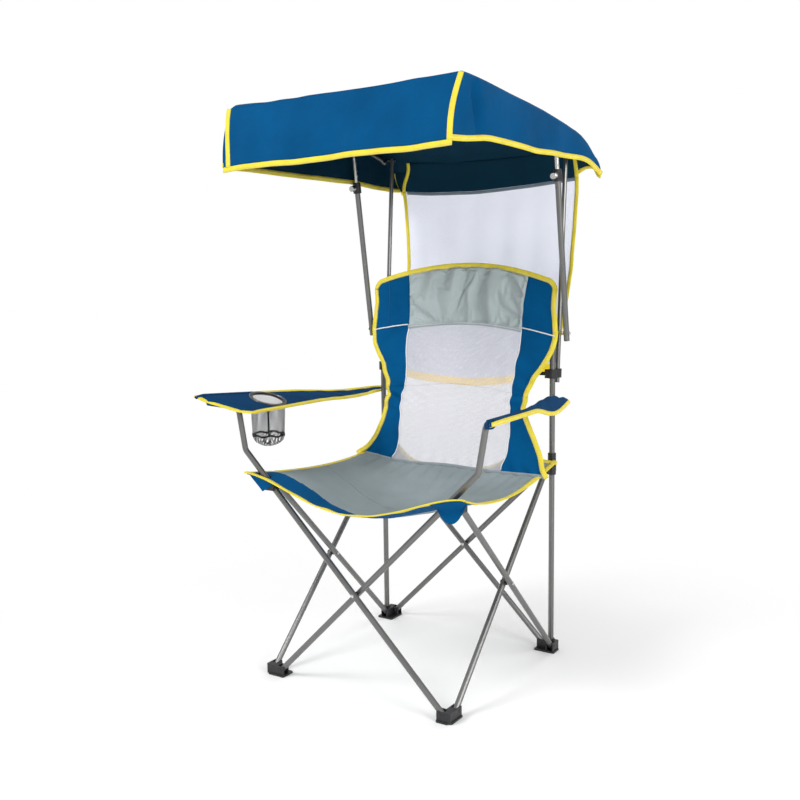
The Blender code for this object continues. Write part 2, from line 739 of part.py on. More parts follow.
def corner_bracket(name, sx, x_plane, y_plane):
    """The front corner's bracket, open above so that the front tube can leave it outward."""
    high = JOINT_HEIGHT + BRACKET_TOP
    body = elbow(name, sx, 1, x_plane, y_plane, JOINT_HEIGHT - FOOT_HALF_HEIGHT, high, BRACKET_ARM)
    half = SLOT_HALF + SEAT_GAP
    under = SLOT_HALF / math.sin(LEG_LEAN) - FOOT_ARM / math.tan(LEG_LEAN)
    outer = corner_spot(sx, 1, -PIVOT_INSET, y_plane - half, JOINT_HEIGHT - under)
    inner = corner_spot(sx, 1, PIVOT_INSET, y_plane + half, high + FOOT_WALL)
    cut(body, box(name + "_exit", [min(a, b) for a, b in zip(outer, inner)],
                  [max(a, b) for a, b in zip(outer, inner)]))
    add_pins(body, sx, 1, x_plane, y_plane, JOINT_HEIGHT, heads=False)
    return keep(body, PLASTIC_BLACK)


corner_bracket("corner_bracket_left", 1, PLANE, -PLANE)
corner_bracket("corner_bracket_right", -1, -PLANE, PLANE)


# Rear posts and canopy posts

def canopy_post_y(z):
    """How far back the middle of the canopy post lies at a height."""
    return CANOPY_Y + CANOPY_POST_LEAN_SHARE * (z - COLLAR_HEIGHT_AT)


def roof_line(share):
    """The roof's side edge: distance back and height at a share of its length."""
    y = ROOF_FRONT + (ROOF_BACK - ROOF_FRONT) * share
    return y, ROOF_FRONT_HEIGHT + ROOF_DROP * smooth_shares(ROOF_LINE_SHARES, share)


HOOD_STATIONS = [i / HOOD_CELLS for i in range(HOOD_CELLS + 1)]


def roof_height(x, y):
    """Height of the hood's flat-faced roof over a point."""
    places = [roof_line(share)[0] for share in HOOD_STATIONS]
    heights = [roof_line(share)[1] for share in HOOD_STATIONS]
    across = [2 * share - 1 for share in HOOD_STATIONS]
    sags = [ROOF_SAG * (1 - a * a) ** 2 for a in across]
    return float(np.interp(y, places, heights) - np.interp(x / ROOF_HALF_WIDTH, across, sags))


RAIL_BELOW = CLOTH / 2 + RAIL_RADIUS + EAR_THICKNESS + 3 * SEAT_GAP


def rail_height(y):
    """Height of the side rail's middle at a distance back."""
    return roof_height(RAIL_X, y) - RAIL_BELOW


def pivot_place():
    """Where the canopy post's axis meets the side rail's."""
    z = ROOF_FRONT_HEIGHT
    for _ in range(30):
        z = rail_height(canopy_post_y(z))
    return canopy_post_y(z), z


TILT_Y, TILT_Z = pivot_place()
STRUT_FOOT = Vector((RAIL_X, POST_Y, STRUT_FOOT_AT))
STRUT_TOP = Vector((RAIL_X, POST_Y - STRUT_TOP_FORWARD, rail_height(POST_Y - STRUT_TOP_FORWARD)))
STRUT_RUN = (STRUT_TOP - STRUT_FOOT).normalized()
STRUT_TUBE_LENGTH = (STRUT_TOP - STRUT_FOOT).length * STRUT_TUBE_SHARE
ROD_TOP = STRUT_TOP - STRUT_RUN * (RAIL_RADIUS + ROD_TOP_CLEARANCE)


def mirrored(point, side):
    """The point on the left (-1) or right (1) of the chair."""
    return Vector((side * point[0], point[1], point[2]))


def cross_bolt(name, side, y, z, inner_x, inner_radius, outer_x, outer_radius):
    """A bolt across two tubes, with a sleeve that keeps them apart."""
    gap = SEAT_GAP
    first = inner_x - inner_radius - gap
    second = inner_x + inner_radius + gap
    third = outer_x - outer_radius - gap
    fourth = outer_x + outer_radius + gap
    sleeve = BOLT_RADIUS * 2
    crown = BOLT_HEAD_RADIUS / 2
    tip = fourth + BOLT_HEAD_HEIGHT
    tail = first - BOLT_HEAD_HEIGHT
    profile = [(0, tip), (crown, tip), (BOLT_HEAD_RADIUS, fourth + BOLT_HEAD_HEIGHT / 2),
               (BOLT_HEAD_RADIUS, fourth), (BOLT_RADIUS, fourth), (BOLT_RADIUS, third),
               (sleeve, third), (sleeve, second), (BOLT_RADIUS, second), (BOLT_RADIUS, first),
               (BOLT_HEAD_RADIUS, first), (BOLT_HEAD_RADIUS, tail), (0, tail)]
    return keep(turned(name, profile, (0, y, z), (side, 0, 0), HOLE_SIDES), STEEL_BRIGHT)


def bolt_hole(obj, side, x, radius, y, z):
    """A cross hole for a bolt in a tube of the given radius."""
    low = Vector((side * (x - radius * 2), y, z))
    high = Vector((side * (x + radius * 2), y, z))
    return cut(obj, cylinder(obj.name + "_bolt_hole", BOLT_RADIUS + SEAT_GAP, low, high, HOLE_SIDES))


def rear_side(word, side):
    """Everything that stands on one rear foot: post, collar, lever, canopy post and bolts."""
    x = side * POST_X
    foot_z = FOOT_FLOOR + SEAT_GAP
    post = tube("rear_post_" + word, [(x, POST_Y, foot_z), (x, POST_Y, POST_TOP)], POST_RADIUS)
    bolt_hole(post, side, POST_X, POST_RADIUS, POST_Y, STRUT_FOOT_AT)
    keep(post, TUBE_GREY)

    cx = side * CANOPY_X
    low = Vector((cx, canopy_post_y(CANOPY_POST_FOOT), CANOPY_POST_FOOT))
    top_z = TILT_Z + BOLT_HEAD_RADIUS
    high = Vector((cx, canopy_post_y(top_z), top_z))
    upper = tube("canopy_post_" + word, [low, high], CANOPY_POST_RADIUS)
    bolt_hole(upper, side, CANOPY_X, CANOPY_POST_RADIUS, TILT_Y, TILT_Z)
    keep(upper, TUBE_GREY)

    low_z = COLLAR_HEIGHT_AT - COLLAR_LENGTH / 2
    high_z = COLLAR_HEIGHT_AT + COLLAR_LENGTH / 2
    over = COLLAR_WALL
    main_out = POST_RADIUS + SEAT_GAP + COLLAR_WALL
    body = cylinder("collar_" + word, main_out, (x, POST_Y, low_z), (x, POST_Y, high_z), FINE_SIDES)
    near = Vector((cx, canopy_post_y(low_z), low_z))
    far = Vector((cx, canopy_post_y(high_z), high_z))
    reach = (far - near).normalized() * over
    rear_out = CANOPY_POST_RADIUS + SEAT_GAP + COLLAR_WALL
    add(body, cylinder(body.name + "_rear", rear_out, near, far, FINE_SIDES))
    half = CANOPY_POST_RADIUS
    inset = SEAT_GAP
    add(body, box(body.name + "_bridge", (cx - half, POST_Y, low_z + inset),
                  (cx + half, CANOPY_Y, high_z - inset)))
    hinge_x = POST_X - main_out - LEVER_THICKNESS / 2
    lug = LEVER_THICKNESS / 2 + LEVER_PIN_RADIUS
    inner = min(side * (hinge_x - lug), side * POST_X)
    outer = max(side * (hinge_x - lug), side * POST_X)
    lug_y = POST_Y - main_out / 2
    add(body, box(body.name + "_lugs", (inner, lug_y - lug, low_z + inset),
                  (outer, lug_y + lug, high_z - inset)))
    slot_low = COLLAR_HEIGHT_AT - LEVER_WIDTH / 2 - SEAT_GAP
    slot_high = COLLAR_HEIGHT_AT + LEVER_WIDTH / 2 + SEAT_GAP
    slot_in = min(side * (hinge_x - 2 * lug), side * (hinge_x + lug))
    slot_out = max(side * (hinge_x - 2 * lug), side * (hinge_x + lug))
    cut(body, box(body.name + "_lug_slot", (slot_in, lug_y - 2 * lug, slot_low),
                  (slot_out, lug_y + 2 * lug, slot_high)))
    add(body, cylinder(body.name + "_lug_pin", LEVER_PIN_RADIUS, (side * hinge_x, lug_y, low_z + over / 2),
                       (side * hinge_x, lug_y, high_z - over / 2), 10))
    cut(body, cylinder(body.name + "_bore", POST_RADIUS + SEAT_GAP, (x, POST_Y, low_z - over),
                       (x, POST_Y, high_z + over), ROUND_SIDES))
    cut(body, cylinder(body.name + "_rear_bore", CANOPY_POST_RADIUS + SEAT_GAP, near - reach, far + reach,
                       ROUND_SIDES))
    keep(body, PLASTIC_BLACK)

    hinge = Vector((side * hinge_x, lug_y, COLLAR_HEIGHT_AT))
    up = Vector((0, 0, LEVER_WIDTH / 2))
    barrel = LEVER_PIN_RADIUS + LEVER_THICKNESS / 2
    lever = cylinder("collar_lever_" + word, barrel, hinge - up, hinge + up, 14)
    tip = hinge.x - side * LEVER_LENGTH
    thin = LEVER_THICKNESS / 2
    add(lever, box(lever.name + "_blade", (min(hinge.x, tip), lug_y - thin, hinge.z - up.z + inset),
                   (max(hinge.x, tip), lug_y + thin, hinge.z + up.z - inset)))
    cut(lever, cylinder(lever.name + "_bore", LEVER_PIN_RADIUS + SEAT_GAP, hinge - up * 2,
                        hinge + up * 2, 10))
    keep(lever, PLASTIC_BLACK)

    cross_bolt("strut_bolt_" + word, side, POST_Y, STRUT_FOOT_AT, POST_X, POST_RADIUS, RAIL_X, STRUT_RADIUS)
    cross_bolt("tilt_bolt_" + word, side, TILT_Y, TILT_Z, CANOPY_X, CANOPY_POST_RADIUS, RAIL_X, RAIL_RADIUS)


rear_side("left", -1)
rear_side("right", 1)


# Canopy side frames

def rail_points():
    """Points along the side rail, front to back, under the roof's side edge."""
    rear = TILT_Y + RAIL_REAR_OVERRUN
    between = [roof_line(share)[0] for share in HOOD_STATIONS]
    places = [RAIL_FRONT] + [y for y in between if RAIL_FRONT < y < rear - RAIL_REAR_OVERRUN] + [rear]
    return [Vector((RAIL_X, y, rail_height(y))) for y in places]


def side_frame(word, side):
    """The side rail with its cap and clip, and the telescoping strut below it."""
    points = [mirrored(p, side) for p in rail_points()]
    tilt = Vector((side * RAIL_X, TILT_Y, TILT_Z))
    rail = tube("canopy_rail_" + word, points, RAIL_RADIUS, pivot=tilt)
    bolt_hole(rail, side, RAIL_X, RAIL_RADIUS, TILT_Y, TILT_Z)
    keep(rail, TUBE_GREY)

    nose = points[0]
    inward = (points[1] - points[0]).normalized()
    out = RAIL_RADIUS + SEAT_GAP + RAIL_CAP_WALL
    bore = RAIL_RADIUS + SEAT_GAP
    lip = SEAT_GAP + RAIL_CAP_WALL
    profile = [(0, -SEAT_GAP), (bore, -SEAT_GAP), (bore, RAIL_CAP_LENGTH - lip),
               (out, RAIL_CAP_LENGTH - lip), (out, -SEAT_GAP), (out - RAIL_CAP_WALL, -lip), (0, -lip)]
    keep(turned("rail_cap_" + word, profile, nose, inward, 12), PLASTIC_BLACK)

    top = mirrored(STRUT_TOP, side)
    run = mirrored(STRUT_RUN, side)
    climb = rail_height(top.y + EAR_LENGTH) - rail_height(top.y - EAR_LENGTH)
    ahead = Vector((0, 2 * EAR_LENGTH, climb)).normalized()
    half = EAR_LENGTH / 2
    saddle = RAIL_RADIUS + SEAT_GAP + EAR_THICKNESS
    clip = cylinder("rail_clip_" + word, saddle, top - ahead * half, top + ahead * half, 18)
    add(clip, box(clip.name + "_ears", (top.x - saddle, top.y - half, top.z - EAR_DROP - RAIL_RADIUS),
                  (top.x + saddle, top.y + half, top.z)))
    gap = ROD_RADIUS + 2 * SLOT_CLEARANCE
    cut(clip, box(clip.name + "_fork", (top.x - gap, top.y - EAR_LENGTH, top.z - EAR_DROP * 2 - RAIL_RADIUS),
                  (top.x + gap, top.y + EAR_LENGTH, top.z)))
    cut(clip, cylinder(clip.name + "_bore", RAIL_RADIUS + 2 * SEAT_GAP, top - ahead * EAR_LENGTH,
                       top + ahead * EAR_LENGTH, FINE_SIDES))
    keep(clip, PLASTIC_BLACK)

    foot_at = mirrored(STRUT_FOOT, side)
    end = foot_at + run * STRUT_TUBE_LENGTH
    outer = tube("strut_tube_" + word, [foot_at - run * STRUT_FOOT_OVERRUN, end], STRUT_RADIUS, pivot=foot_at)
    bolt_hole(outer, side, RAIL_X, STRUT_RADIUS, foot_at.y, foot_at.z)
    keep(outer, TUBE_GREY)
    rod_top = mirrored(ROD_TOP, side)
    rod = bar("strut_rod_" + word, [end - run * ROD_INSIDE, rod_top], ROD_RADIUS, pivot=rod_top)
    keep(rod, STEEL_BRIGHT)

    over_tube = STRUT_RADIUS + SEAT_GAP
    over_rod = ROD_RADIUS + SEAT_GAP
    skin = over_tube + CLIP_WALL
    neck = CLIP_HEIGHT / 3
    edge = MOULD_EDGE
    profile = [(over_rod, neck), (skin - edge * 2, neck), (skin - edge, neck - edge), (skin, SEAT_GAP),
               (skin, neck - CLIP_HEIGHT), (over_tube, neck - CLIP_HEIGHT), (over_tube, SEAT_GAP),
               (over_rod, SEAT_GAP), (over_rod, neck)]
    collar = turned("strut_clip_" + word, profile, end, run, FINE_SIDES)
    front = Vector((0, -run.z, run.y))
    middle = end - run * (CLIP_HEIGHT / 2 - neck)
    boss = skin + KNOB_STEM_LENGTH / 2
    add(collar, cylinder(collar.name + "_boss", KNOB_STEM_RADIUS * 2, middle + front * (over_tube + edge),
                         middle + front * boss, 14))
    cut(collar, cylinder(collar.name + "_boss_bore", KNOB_STEM_RADIUS + SEAT_GAP,
                         middle + front * (over_tube + edge * 2), middle + front * (boss + edge), 12))
    keep(collar, PLASTIC_BLACK)
    face = boss + SEAT_GAP
    stem = over_tube + edge * 2 + SEAT_GAP
    profile = [(0, face + KNOB_LENGTH), (KNOB_RADIUS - edge, face + KNOB_LENGTH),
               (KNOB_RADIUS, face + KNOB_LENGTH - edge), (KNOB_RADIUS, face + edge),
               (KNOB_RADIUS - edge, face), (KNOB_STEM_RADIUS, face), (KNOB_STEM_RADIUS, stem), (0, stem)]
    keep(turned("clamp_knob_" + word, profile, middle, front, 12), STEEL_BRIGHT)


side_frame("left", -1)
side_frame("right", 1)


# Canopy fabric

def hem_line(share):
    """The hood's lower edge: distance back and height at a share of its length."""
    y = HEM_FRONT + (HEM_REAR - HEM_FRONT) * share
    return y, HEM_FRONT_HEIGHT + (HEM_REAR_HEIGHT - HEM_FRONT_HEIGHT) * share


def hood():
    """The sun hood: an open-bottomed box bent to the roof's line, with the roof sagging a little."""
    bm = bmesh.new()
    bmesh.ops.create_cube(bm, size=1.0)
    bmesh.ops.subdivide_edges(bm, edges=bm.edges, cuts=HOOD_CELLS - 1, use_grid_fill=True)
    floor = [f for f in bm.faces if f.calc_center_median().z < -0.5 + 0.001]
    bmesh.ops.delete(bm, geom=floor, context="FACES_ONLY")
    loose = [v for v in bm.verts if not v.link_faces]
    bmesh.ops.delete(bm, geom=loose, context="VERTS")
    for vert in bm.verts:
        across = vert.co.x * 2
        share = vert.co.y + 0.5
        rise = vert.co.z + 0.5
        top_y, top_z = roof_line(share)
        hem_y, hem_z = hem_line(share)
        sag = ROOF_SAG * (1 - across * across) ** 2 * rise
        vert.co = Vector((ROOF_HALF_WIDTH * across, hem_y + (top_y - hem_y) * rise,
                          hem_z + (top_z - hem_z) * rise - sag))
    obj = object_from(bm, "canopy_cover")
    body = obj.modifiers.new("thickness", "SOLIDIFY")
    body.thickness = CLOTH
    body.offset = 0.0
    return keep(obj, FABRIC_BLUE)


hood()


def curtain_point(s, t):
    """The rear curtain: from under the roof's rear down to the canopy posts at the collars."""
    half = CURTAIN_TOP_HALF * smooth_shares(CURTAIN_WIDTH_SHARES, 1 - t)
    x = (2 * s - 1) * half
    foot_y = canopy_post_y(CURTAIN_FOOT_HEIGHT) + CANOPY_POST_RADIUS + CLOTH / 2 + SEAT_GAP * 2
    y = CURTAIN_TOP_BACK + (foot_y - CURTAIN_TOP_BACK) * smooth_shares(CURTAIN_DEPTH_SHARES, t)
    top_z = roof_height(x, CURTAIN_TOP_BACK) - CURTAIN_GAP
    return Vector((x, y, top_z + (CURTAIN_FOOT_HEIGHT - top_z) * t))


keep(cloth("rear_curtain", curtain_point, 6, 20), MESH_WHITE)


# Seat and back

SEAT_CORNER_REAR = POST_Y - POST_RADIUS - SLOT_CLEARANCE - SLIDER_WALL - SEAT_GAP * 2


def seat_point(s, t):
    """The hung seat: high at its four corners, deep in the middle of its front edge."""
    across = 2 * s - 1
    q = abs(across)
    bow = (SEAT_CORNER_HALF + SEAT_REAR_HALF) / 2 - SEAT_MID_HALF
    half = SEAT_CORNER_HALF + (SEAT_REAR_HALF - SEAT_CORNER_HALF) * t - 4 * t * (1 - t) * bow
    end = SEAT_REAR + (SEAT_CORNER_REAR - SEAT_REAR) * q ** 3
    side = SEAT_FRONT_HEIGHT + (SEAT_REAR_HEIGHT - SEAT_FRONT_HEIGHT) * t - 4 * t * (1 - t) * SEAT_SIDE_SAG
    side += SEAT_CORNER_LIFT * q ** 3 * t ** 4
    sag = SEAT_FRONT_SAG * (1 - t * t) + 4 * t * (1 - t) * SEAT_POCKET_SAG + SEAT_REAR_SAG * t * t
    z = side - sag * (1 - q * q) ** SEAT_SAG_POWER
    return Vector((across * half, SEAT_FRONT + (end - SEAT_FRONT) * t, z))


def seat_height(x, y):
    """Height of the seat's middle surface over a point, found by stepping towards it."""
    s = 0.5
    t = 0.5
    for _ in range(12):
        here = seat_point(s, t)
        half = abs(seat_point(1.0, t).x)
        end = seat_point(s, 1.0).y
        s = min(1.0, max(0.0, s + (x - here.x) / (2 * half)))
        t = min(1.0, max(0.0, t + (y - here.y) / (end - SEAT_FRONT)))
    return seat_point(s, t).z


seat = cloth("seat_fabric", seat_point, 20, 16)
for side, plane in ((-1, FRONT_Y - PLANE), (1, FRONT_Y + PLANE)):
    run = Vector((side * math.sin(LEG_LEAN), 0, math.cos(LEG_LEAN)))
    joint = Vector((side * HALF_SPAN, plane, JOINT_HEIGHT))
    slot = cylinder("seat_slot", LEG_RADIUS + SLOT_MARGIN, joint + run * END_OVERRUN,
                    joint + run * (ARM_BEND_OUT / math.sin(LEG_LEAN)), ROUND_SIDES)
    cut(seat, slot)
keep(seat, FABRIC_GREY)


def back_point(s, t):
    """The hung back: narrow at the waist, crowned at the top, bowed backward between the posts."""
    across = 2 * s - 1
    q = abs(across)
    half = BACK_TOP_HALF * smooth_shares(BACK_WIDTH_SHARES, t)
    x = across * half
    foot_z = seat_height(x, SEAT_REAR) + CLOTH + BACK_FOOT_LIFT
    top_z = BACK_TOP_HEIGHT + BACK_CROWN * (1 - q * q)
    top_y = POST_Y - POST_RADIUS - SEAT_GAP * 2 - CLOTH
    y = SEAT_REAR + (top_y - SEAT_REAR) * smooth_shares(BACK_LEAN_SHARES, t)
    y += BACK_BOW * (1 - q * q) ** 2 * t * (2 - t)
    gather = max(0.0, min(1.0, (t - 0.84) / 0.10)) * max(0.0, min(1.0, (0.66 - q) / 0.10))
    y += PUCKER_DEPTH * gather * math.cos(2 * math.pi * PUCKER_COUNT * s)
    return Vector((x, y, foot_z + (top_z - foot_z) * t))


keep(cloth("back_fabric", back_point, 24, 18), FABRIC_BLUE)


def corner_pocket(word, side):
    """The pointed fold of cloth that hangs over the front corner's bracket and lies against it."""
    middle = HALF_FOOT
    hem = SEAT_FRONT + CLOTH
    bracket_front = FRONT_Y + side * PLANE - WALL_HALF
    tuck = bracket_front - SEAT_GAP - CLOTH / 2 - hem

    def point(s, t):
        """A point of the fold, from the seat's front edge down to its tip."""
        x = side * (middle + (2 * s - 1) * POCKET_HALF)
        hang = POCKET_DEPTH * (1 - (2 * s - 1) ** 2)
        y = hem + tuck * math.sin(math.pi / 2 * min(1.0, t / POCKET_TUCK_SHARE))
        return Vector((x, y, seat_height(x, y) - CLOTH * 2 - (CLOTH + hang) * t))

    keep(cloth("corner_pocket_" + word, point, 8, 4), FABRIC_BLUE)


corner_pocket("left", -1)
corner_pocket("right", 1)


# Armrests and cup holder

ARM_INNER_REAR = POST_X + POST_RADIUS + SEAT_GAP * 2


def arm_edges(inner_half, tip_half, t):
    """Distances of an armrest's inner and outer edge from the chair's middle, at a share of its length."""
    outer_rear = ARM_INNER_REAR + ARM_REAR_WIDTH
    return inner_half + (ARM_INNER_REAR - inner_half) * t, tip_half + (outer_rear - tip_half) * t


def flat_arm_point(s, t):
    """A point of the left armrest, a tilted tongue of double cloth held flat by the cup holder's ring."""
    inner_x, outer_x = arm_edges(ARM_INNER_HALF, ARM_TIP_HALF, t)
    front = ARM_FRONT + (ARM_TIP_FRONT - ARM_FRONT) * s
    x = inner_x + (outer_x - inner_x) * s
    rear = max(0.0, (t - 0.45) / 0.55)
    sag = ARM_SAG * math.sin(math.pi * rear) ** 2
    return Vector((-x, front + (ARM_REAR - front) * t, arm_surface(x) - sag))


def sleeve_arm_point(s, t):
    """A point of the right armrest: a narrower sleeve over its tube, that twists outward at the rear."""
    inner_x, outer_x = arm_edges(SLEEVE_INNER_HALF, SLEEVE_TIP_HALF, t)
    front = SLEEVE_FRONT + (ARM_TIP_FRONT - SLEEVE_FRONT) * s
    x = inner_x + (outer_x - inner_x) * s
    twist = max(0.0, 1 - ((t - TWIST_AT_SHARE) / TWIST_REACH_SHARE) ** 2) ** 2
    hold = SLEEVE_HOLD_SHARE + (0.5 - SLEEVE_HOLD_SHARE) * min(1.0, t / SLEEVE_TIP_SHARE)
    outward = max(0.0, (s - hold) / (1 - hold)) ** 2
    rise = SLEEVE_CROWN * twist * 4 * s * (1 - s)
    fall = (SLEEVE_EDGE_DROP + SLEEVE_TWIST_DROP * twist) * outward
    return Vector((x, front + (ARM_REAR - front) * t, arm_surface(x) + rise - fall))


keep(cloth("armrest_right", sleeve_arm_point, 8, 20, ARM_THICKNESS), FABRIC_BLUE)
left_arm = cloth("armrest_left", flat_arm_point, 6, 16, ARM_THICKNESS)
CUP = flat_arm_point(CUP_ACROSS_SHARE, CUP_ALONG_SHARE)
CUP_AXIS = Vector((ARM_SLOPE_SHARE, 0, 1)).normalized()
cut(left_arm, cylinder("cup_hole", CUP_HOLE_RADIUS, CUP - CUP_AXIS * CUP_RING_WIDTH,
                       CUP + CUP_AXIS * CUP_RING_WIDTH, 28))
keep(left_arm, FABRIC_BLUE)

skin = ARM_THICKNESS / 2
neck = CUP_HOLE_RADIUS - SEAT_GAP * 2
wide = CUP_HOLE_RADIUS + CUP_RING_WIDTH
lift = skin + SEAT_GAP
lip = lift + CUP_RING_HEIGHT
ring_profile = [(neck - CUP_RING_HEIGHT, lip), (wide - CUP_RING_HEIGHT, lip), (wide, lift), (neck, lift),
                (neck, -skin), (neck - CUP_RING_HEIGHT, -skin), (neck - CUP_RING_HEIGHT, lip)]
keep(turned("cup_ring", ring_profile, CUP, CUP_AXIS, 28), PLASTIC_BLACK)

pocket_out = CUP_HOLE_RADIUS + CUP_POCKET_WALL
pocket_in = pocket_out - CUP_POCKET_WALL
low_out = pocket_out * CUP_TAPER_SHARE
low_in = low_out - CUP_POCKET_WALL
deep = -CUP_POCKET_DEPTH
rise = CUP_HOLE_RADIUS
taper = (pocket_out - low_out) / CUP_POCKET_DEPTH * rise
pocket_profile = [(0, deep + CUP_POCKET_WALL), (low_in - CUP_POCKET_WALL * 3, deep + CUP_POCKET_WALL),
                  (low_in, deep + CUP_POCKET_WALL * 4), (pocket_in + taper, rise),
                  (pocket_out + taper, rise), (low_out, deep + CUP_POCKET_WALL * 4),
                  (low_out - CUP_POCKET_WALL * 4, deep), (0, deep)]
pocket = turned("cup_pocket", pocket_profile, CUP, (0, 0, 1), 28)
reach = CUP_HOLE_RADIUS * 3
trim = box("cup_pocket_trim", (-reach, -reach, 0), (reach, reach, reach))
trim.data.transform(Matrix.Translation((0, 0, reach / 2)))
trim.rotation_mode = "QUATERNION"
trim.rotation_quaternion = Vector((0, 0, 1)).rotation_difference(CUP_AXIS)
trim.location = CUP - CUP_AXIS * (skin + SEAT_GAP)
cut(pocket, trim)
keep(pocket, MESH_DARK)

bpy.context.view_layer.update()
for piece in PARTS.objects:
    if piece.type == "MESH":
        print(piece.name, "placed")
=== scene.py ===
# %% [markdown]
# # Dressing a canopy camping chair
#
# The steel frame, its black mouldings and the flat cloth solids come from the CAD model.
# Here the cloth is built again as fine curved sheets with seams, bindings and folds,
# every surface gets a procedural material, and a camera and soft lights are set up.
#
# Lengths are in metres. "Left" is the left of somebody who looks at the chair's front.

import math

import bmesh
import bpy
import numpy as np
from mathutils import Matrix, Vector


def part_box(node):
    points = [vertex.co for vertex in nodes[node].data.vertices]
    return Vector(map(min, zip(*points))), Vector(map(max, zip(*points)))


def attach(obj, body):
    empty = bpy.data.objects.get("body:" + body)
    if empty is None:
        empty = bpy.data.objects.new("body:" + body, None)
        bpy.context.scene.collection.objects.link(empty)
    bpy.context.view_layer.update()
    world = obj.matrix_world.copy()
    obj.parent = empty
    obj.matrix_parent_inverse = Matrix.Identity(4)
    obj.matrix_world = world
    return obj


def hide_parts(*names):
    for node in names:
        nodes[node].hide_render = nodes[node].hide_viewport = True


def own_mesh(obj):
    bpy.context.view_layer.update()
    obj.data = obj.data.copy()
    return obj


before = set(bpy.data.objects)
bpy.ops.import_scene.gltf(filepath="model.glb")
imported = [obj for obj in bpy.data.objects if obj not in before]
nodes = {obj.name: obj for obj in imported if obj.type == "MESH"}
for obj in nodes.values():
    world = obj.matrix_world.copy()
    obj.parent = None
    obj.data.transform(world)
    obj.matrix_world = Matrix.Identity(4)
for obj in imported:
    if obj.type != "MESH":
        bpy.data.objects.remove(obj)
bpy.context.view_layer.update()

# %% [markdown]
# ## The chair's own axes
#
# The chair is described round the middle of its four feet. The rear posts show where that
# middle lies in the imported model: halfway between them in X, and their setback before them in Y.

# %% Where the chair stands
POST_Y = 0.264
POST_RADIUS = 0.0075
left_low, left_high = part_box("rear_post_left")
right_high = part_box("rear_post_right")[1]
SHIFT = np.array([(left_low.x + right_high.x) / 2, (left_low.y + left_high.y) / 2 - POST_Y, 0.0])
print("shift of the chair's axes", np.round(SHIFT, 4))


def place(point):
    """A point of the chair's axes in the frame's axes."""
    return Vector(np.asarray(point, float) + SHIFT)


# %% [markdown]
# ## Camera
#
# The camera stands to the sitter's left in front of the chair, a little above the seat back.
# Its place, turn and lens were fitted to matching points on both sides of the chair.

# %% Camera
EYE = (1.395, -2.211, 1.045)
YAW, PITCH, ROLL = 0.5762356, -0.1294571, -0.0132968
FOCAL_PIXELS = 1018.863

ahead = Vector((-math.sin(YAW) * math.cos(PITCH), math.cos(YAW) * math.cos(PITCH), math.sin(PITCH)))
level = Vector((math.cos(YAW), math.sin(YAW), 0))
upward = level.cross(ahead)
across = math.cos(ROLL) * level + math.sin(ROLL) * upward
above = -math.sin(ROLL) * level + math.cos(ROLL) * upward
camera = bpy.data.objects.new("camera", bpy.data.cameras.new("camera"))
bpy.context.scene.collection.objects.link(camera)
camera.matrix_world = Matrix.Translation(place(EYE)) @ Matrix((across, above, -ahead)).transposed().to_4x4()
camera.data.lens = FOCAL_PIXELS * 36 / 800
bpy.context.scene.camera = camera
bpy.context.scene.view_settings.view_transform = "Standard"
print("lens", round(camera.data.lens, 2), "mm")

# %% [markdown]
# ## Light and floor
#
# An even white room lights the chair, with a broad lamp above the front left and a weak one
# on the right. The floor keeps the shadow near the chair and fades to the white of the room.

# %% World
world = bpy.data.worlds.new("room")
bpy.context.scene.world = world
world.use_nodes = True
tree = world.node_tree
tree.nodes.clear()


def socket(node, key):
    """The input of that name or number, skipping the inputs that a node hides."""
    if isinstance(key, int):
        return node.inputs[key]
    shown = [s for s in node.inputs if s.name == key and s.enabled]
    return shown[0]


def put(tree, target, value):
    """Sets an input, or links it where the value is the output of a node."""
    if isinstance(value, bpy.types.NodeSocket):
        tree.links.new(value, target)
    else:
        target.default_value = value


def add(tree, kind, **ins):
    """Adds a node. Names with a capital are inputs, I0 is the first one, and the rest are settings."""
    node = tree.nodes.new(kind)
    for key, value in ins.items():
        if key[0].islower():
            setattr(node, key, value)
    for key, value in ins.items():
        if key[0].islower():
            continue
        name = int(key[1:]) if key[0] == "I" and key[1:].isdigit() else key.replace("_", " ")
        put(tree, socket(node, name), value)
    return node


def straight_rays(tree):
    """1 for rays from the camera or through clear matter, and 0 for those that carry the room's light."""
    rays = add(tree, "ShaderNodeLightPath")
    return add(tree, "ShaderNodeMath", operation="MAXIMUM", I0=rays.outputs["Is Camera Ray"],
               I1=rays.outputs["Is Transmission Ray"]).outputs[0]


seen = straight_rays(tree)
ROOM_GLOW = 0.66
glow = add(tree, "ShaderNodeBackground", Color=(1, 1, 1, 1), Strength=ROOM_GLOW).outputs[0]
plain = add(tree, "ShaderNodeBackground", Color=(1, 1, 1, 1), Strength=1.0).outputs[0]
both = add(tree, "ShaderNodeMixShader", I0=seen, I1=glow, I2=plain).outputs[0]
add(tree, "ShaderNodeOutputWorld", Surface=both)

# %% Lamps


def lamp(name, spot, aim, size, watts):
    """A square lamp at a spot, turned to a point."""
    data = bpy.data.lights.new(name, "AREA")
    data.size = size
    data.energy = watts
    made = bpy.data.objects.new(name, data)
    bpy.context.scene.collection.objects.link(made)
    made.location = place(spot)
    made.rotation_mode = "QUATERNION"
    made.rotation_quaternion = (place(aim) - place(spot)).to_track_quat("-Z", "Y")
    return made


lamp("key_lamp", (-1.6, -2.6, 3.2), (0, 0, 0.7), 1.5, 80)
lamp("fill_lamp", (3.2, -1.2, 1.9), (0, 0, 0.8), 1.6, 52)
lamp("rear_lamp", (0.4, 3.0, 2.8), (0, 0, 0.8), 1.6, 24)

# %% Floor


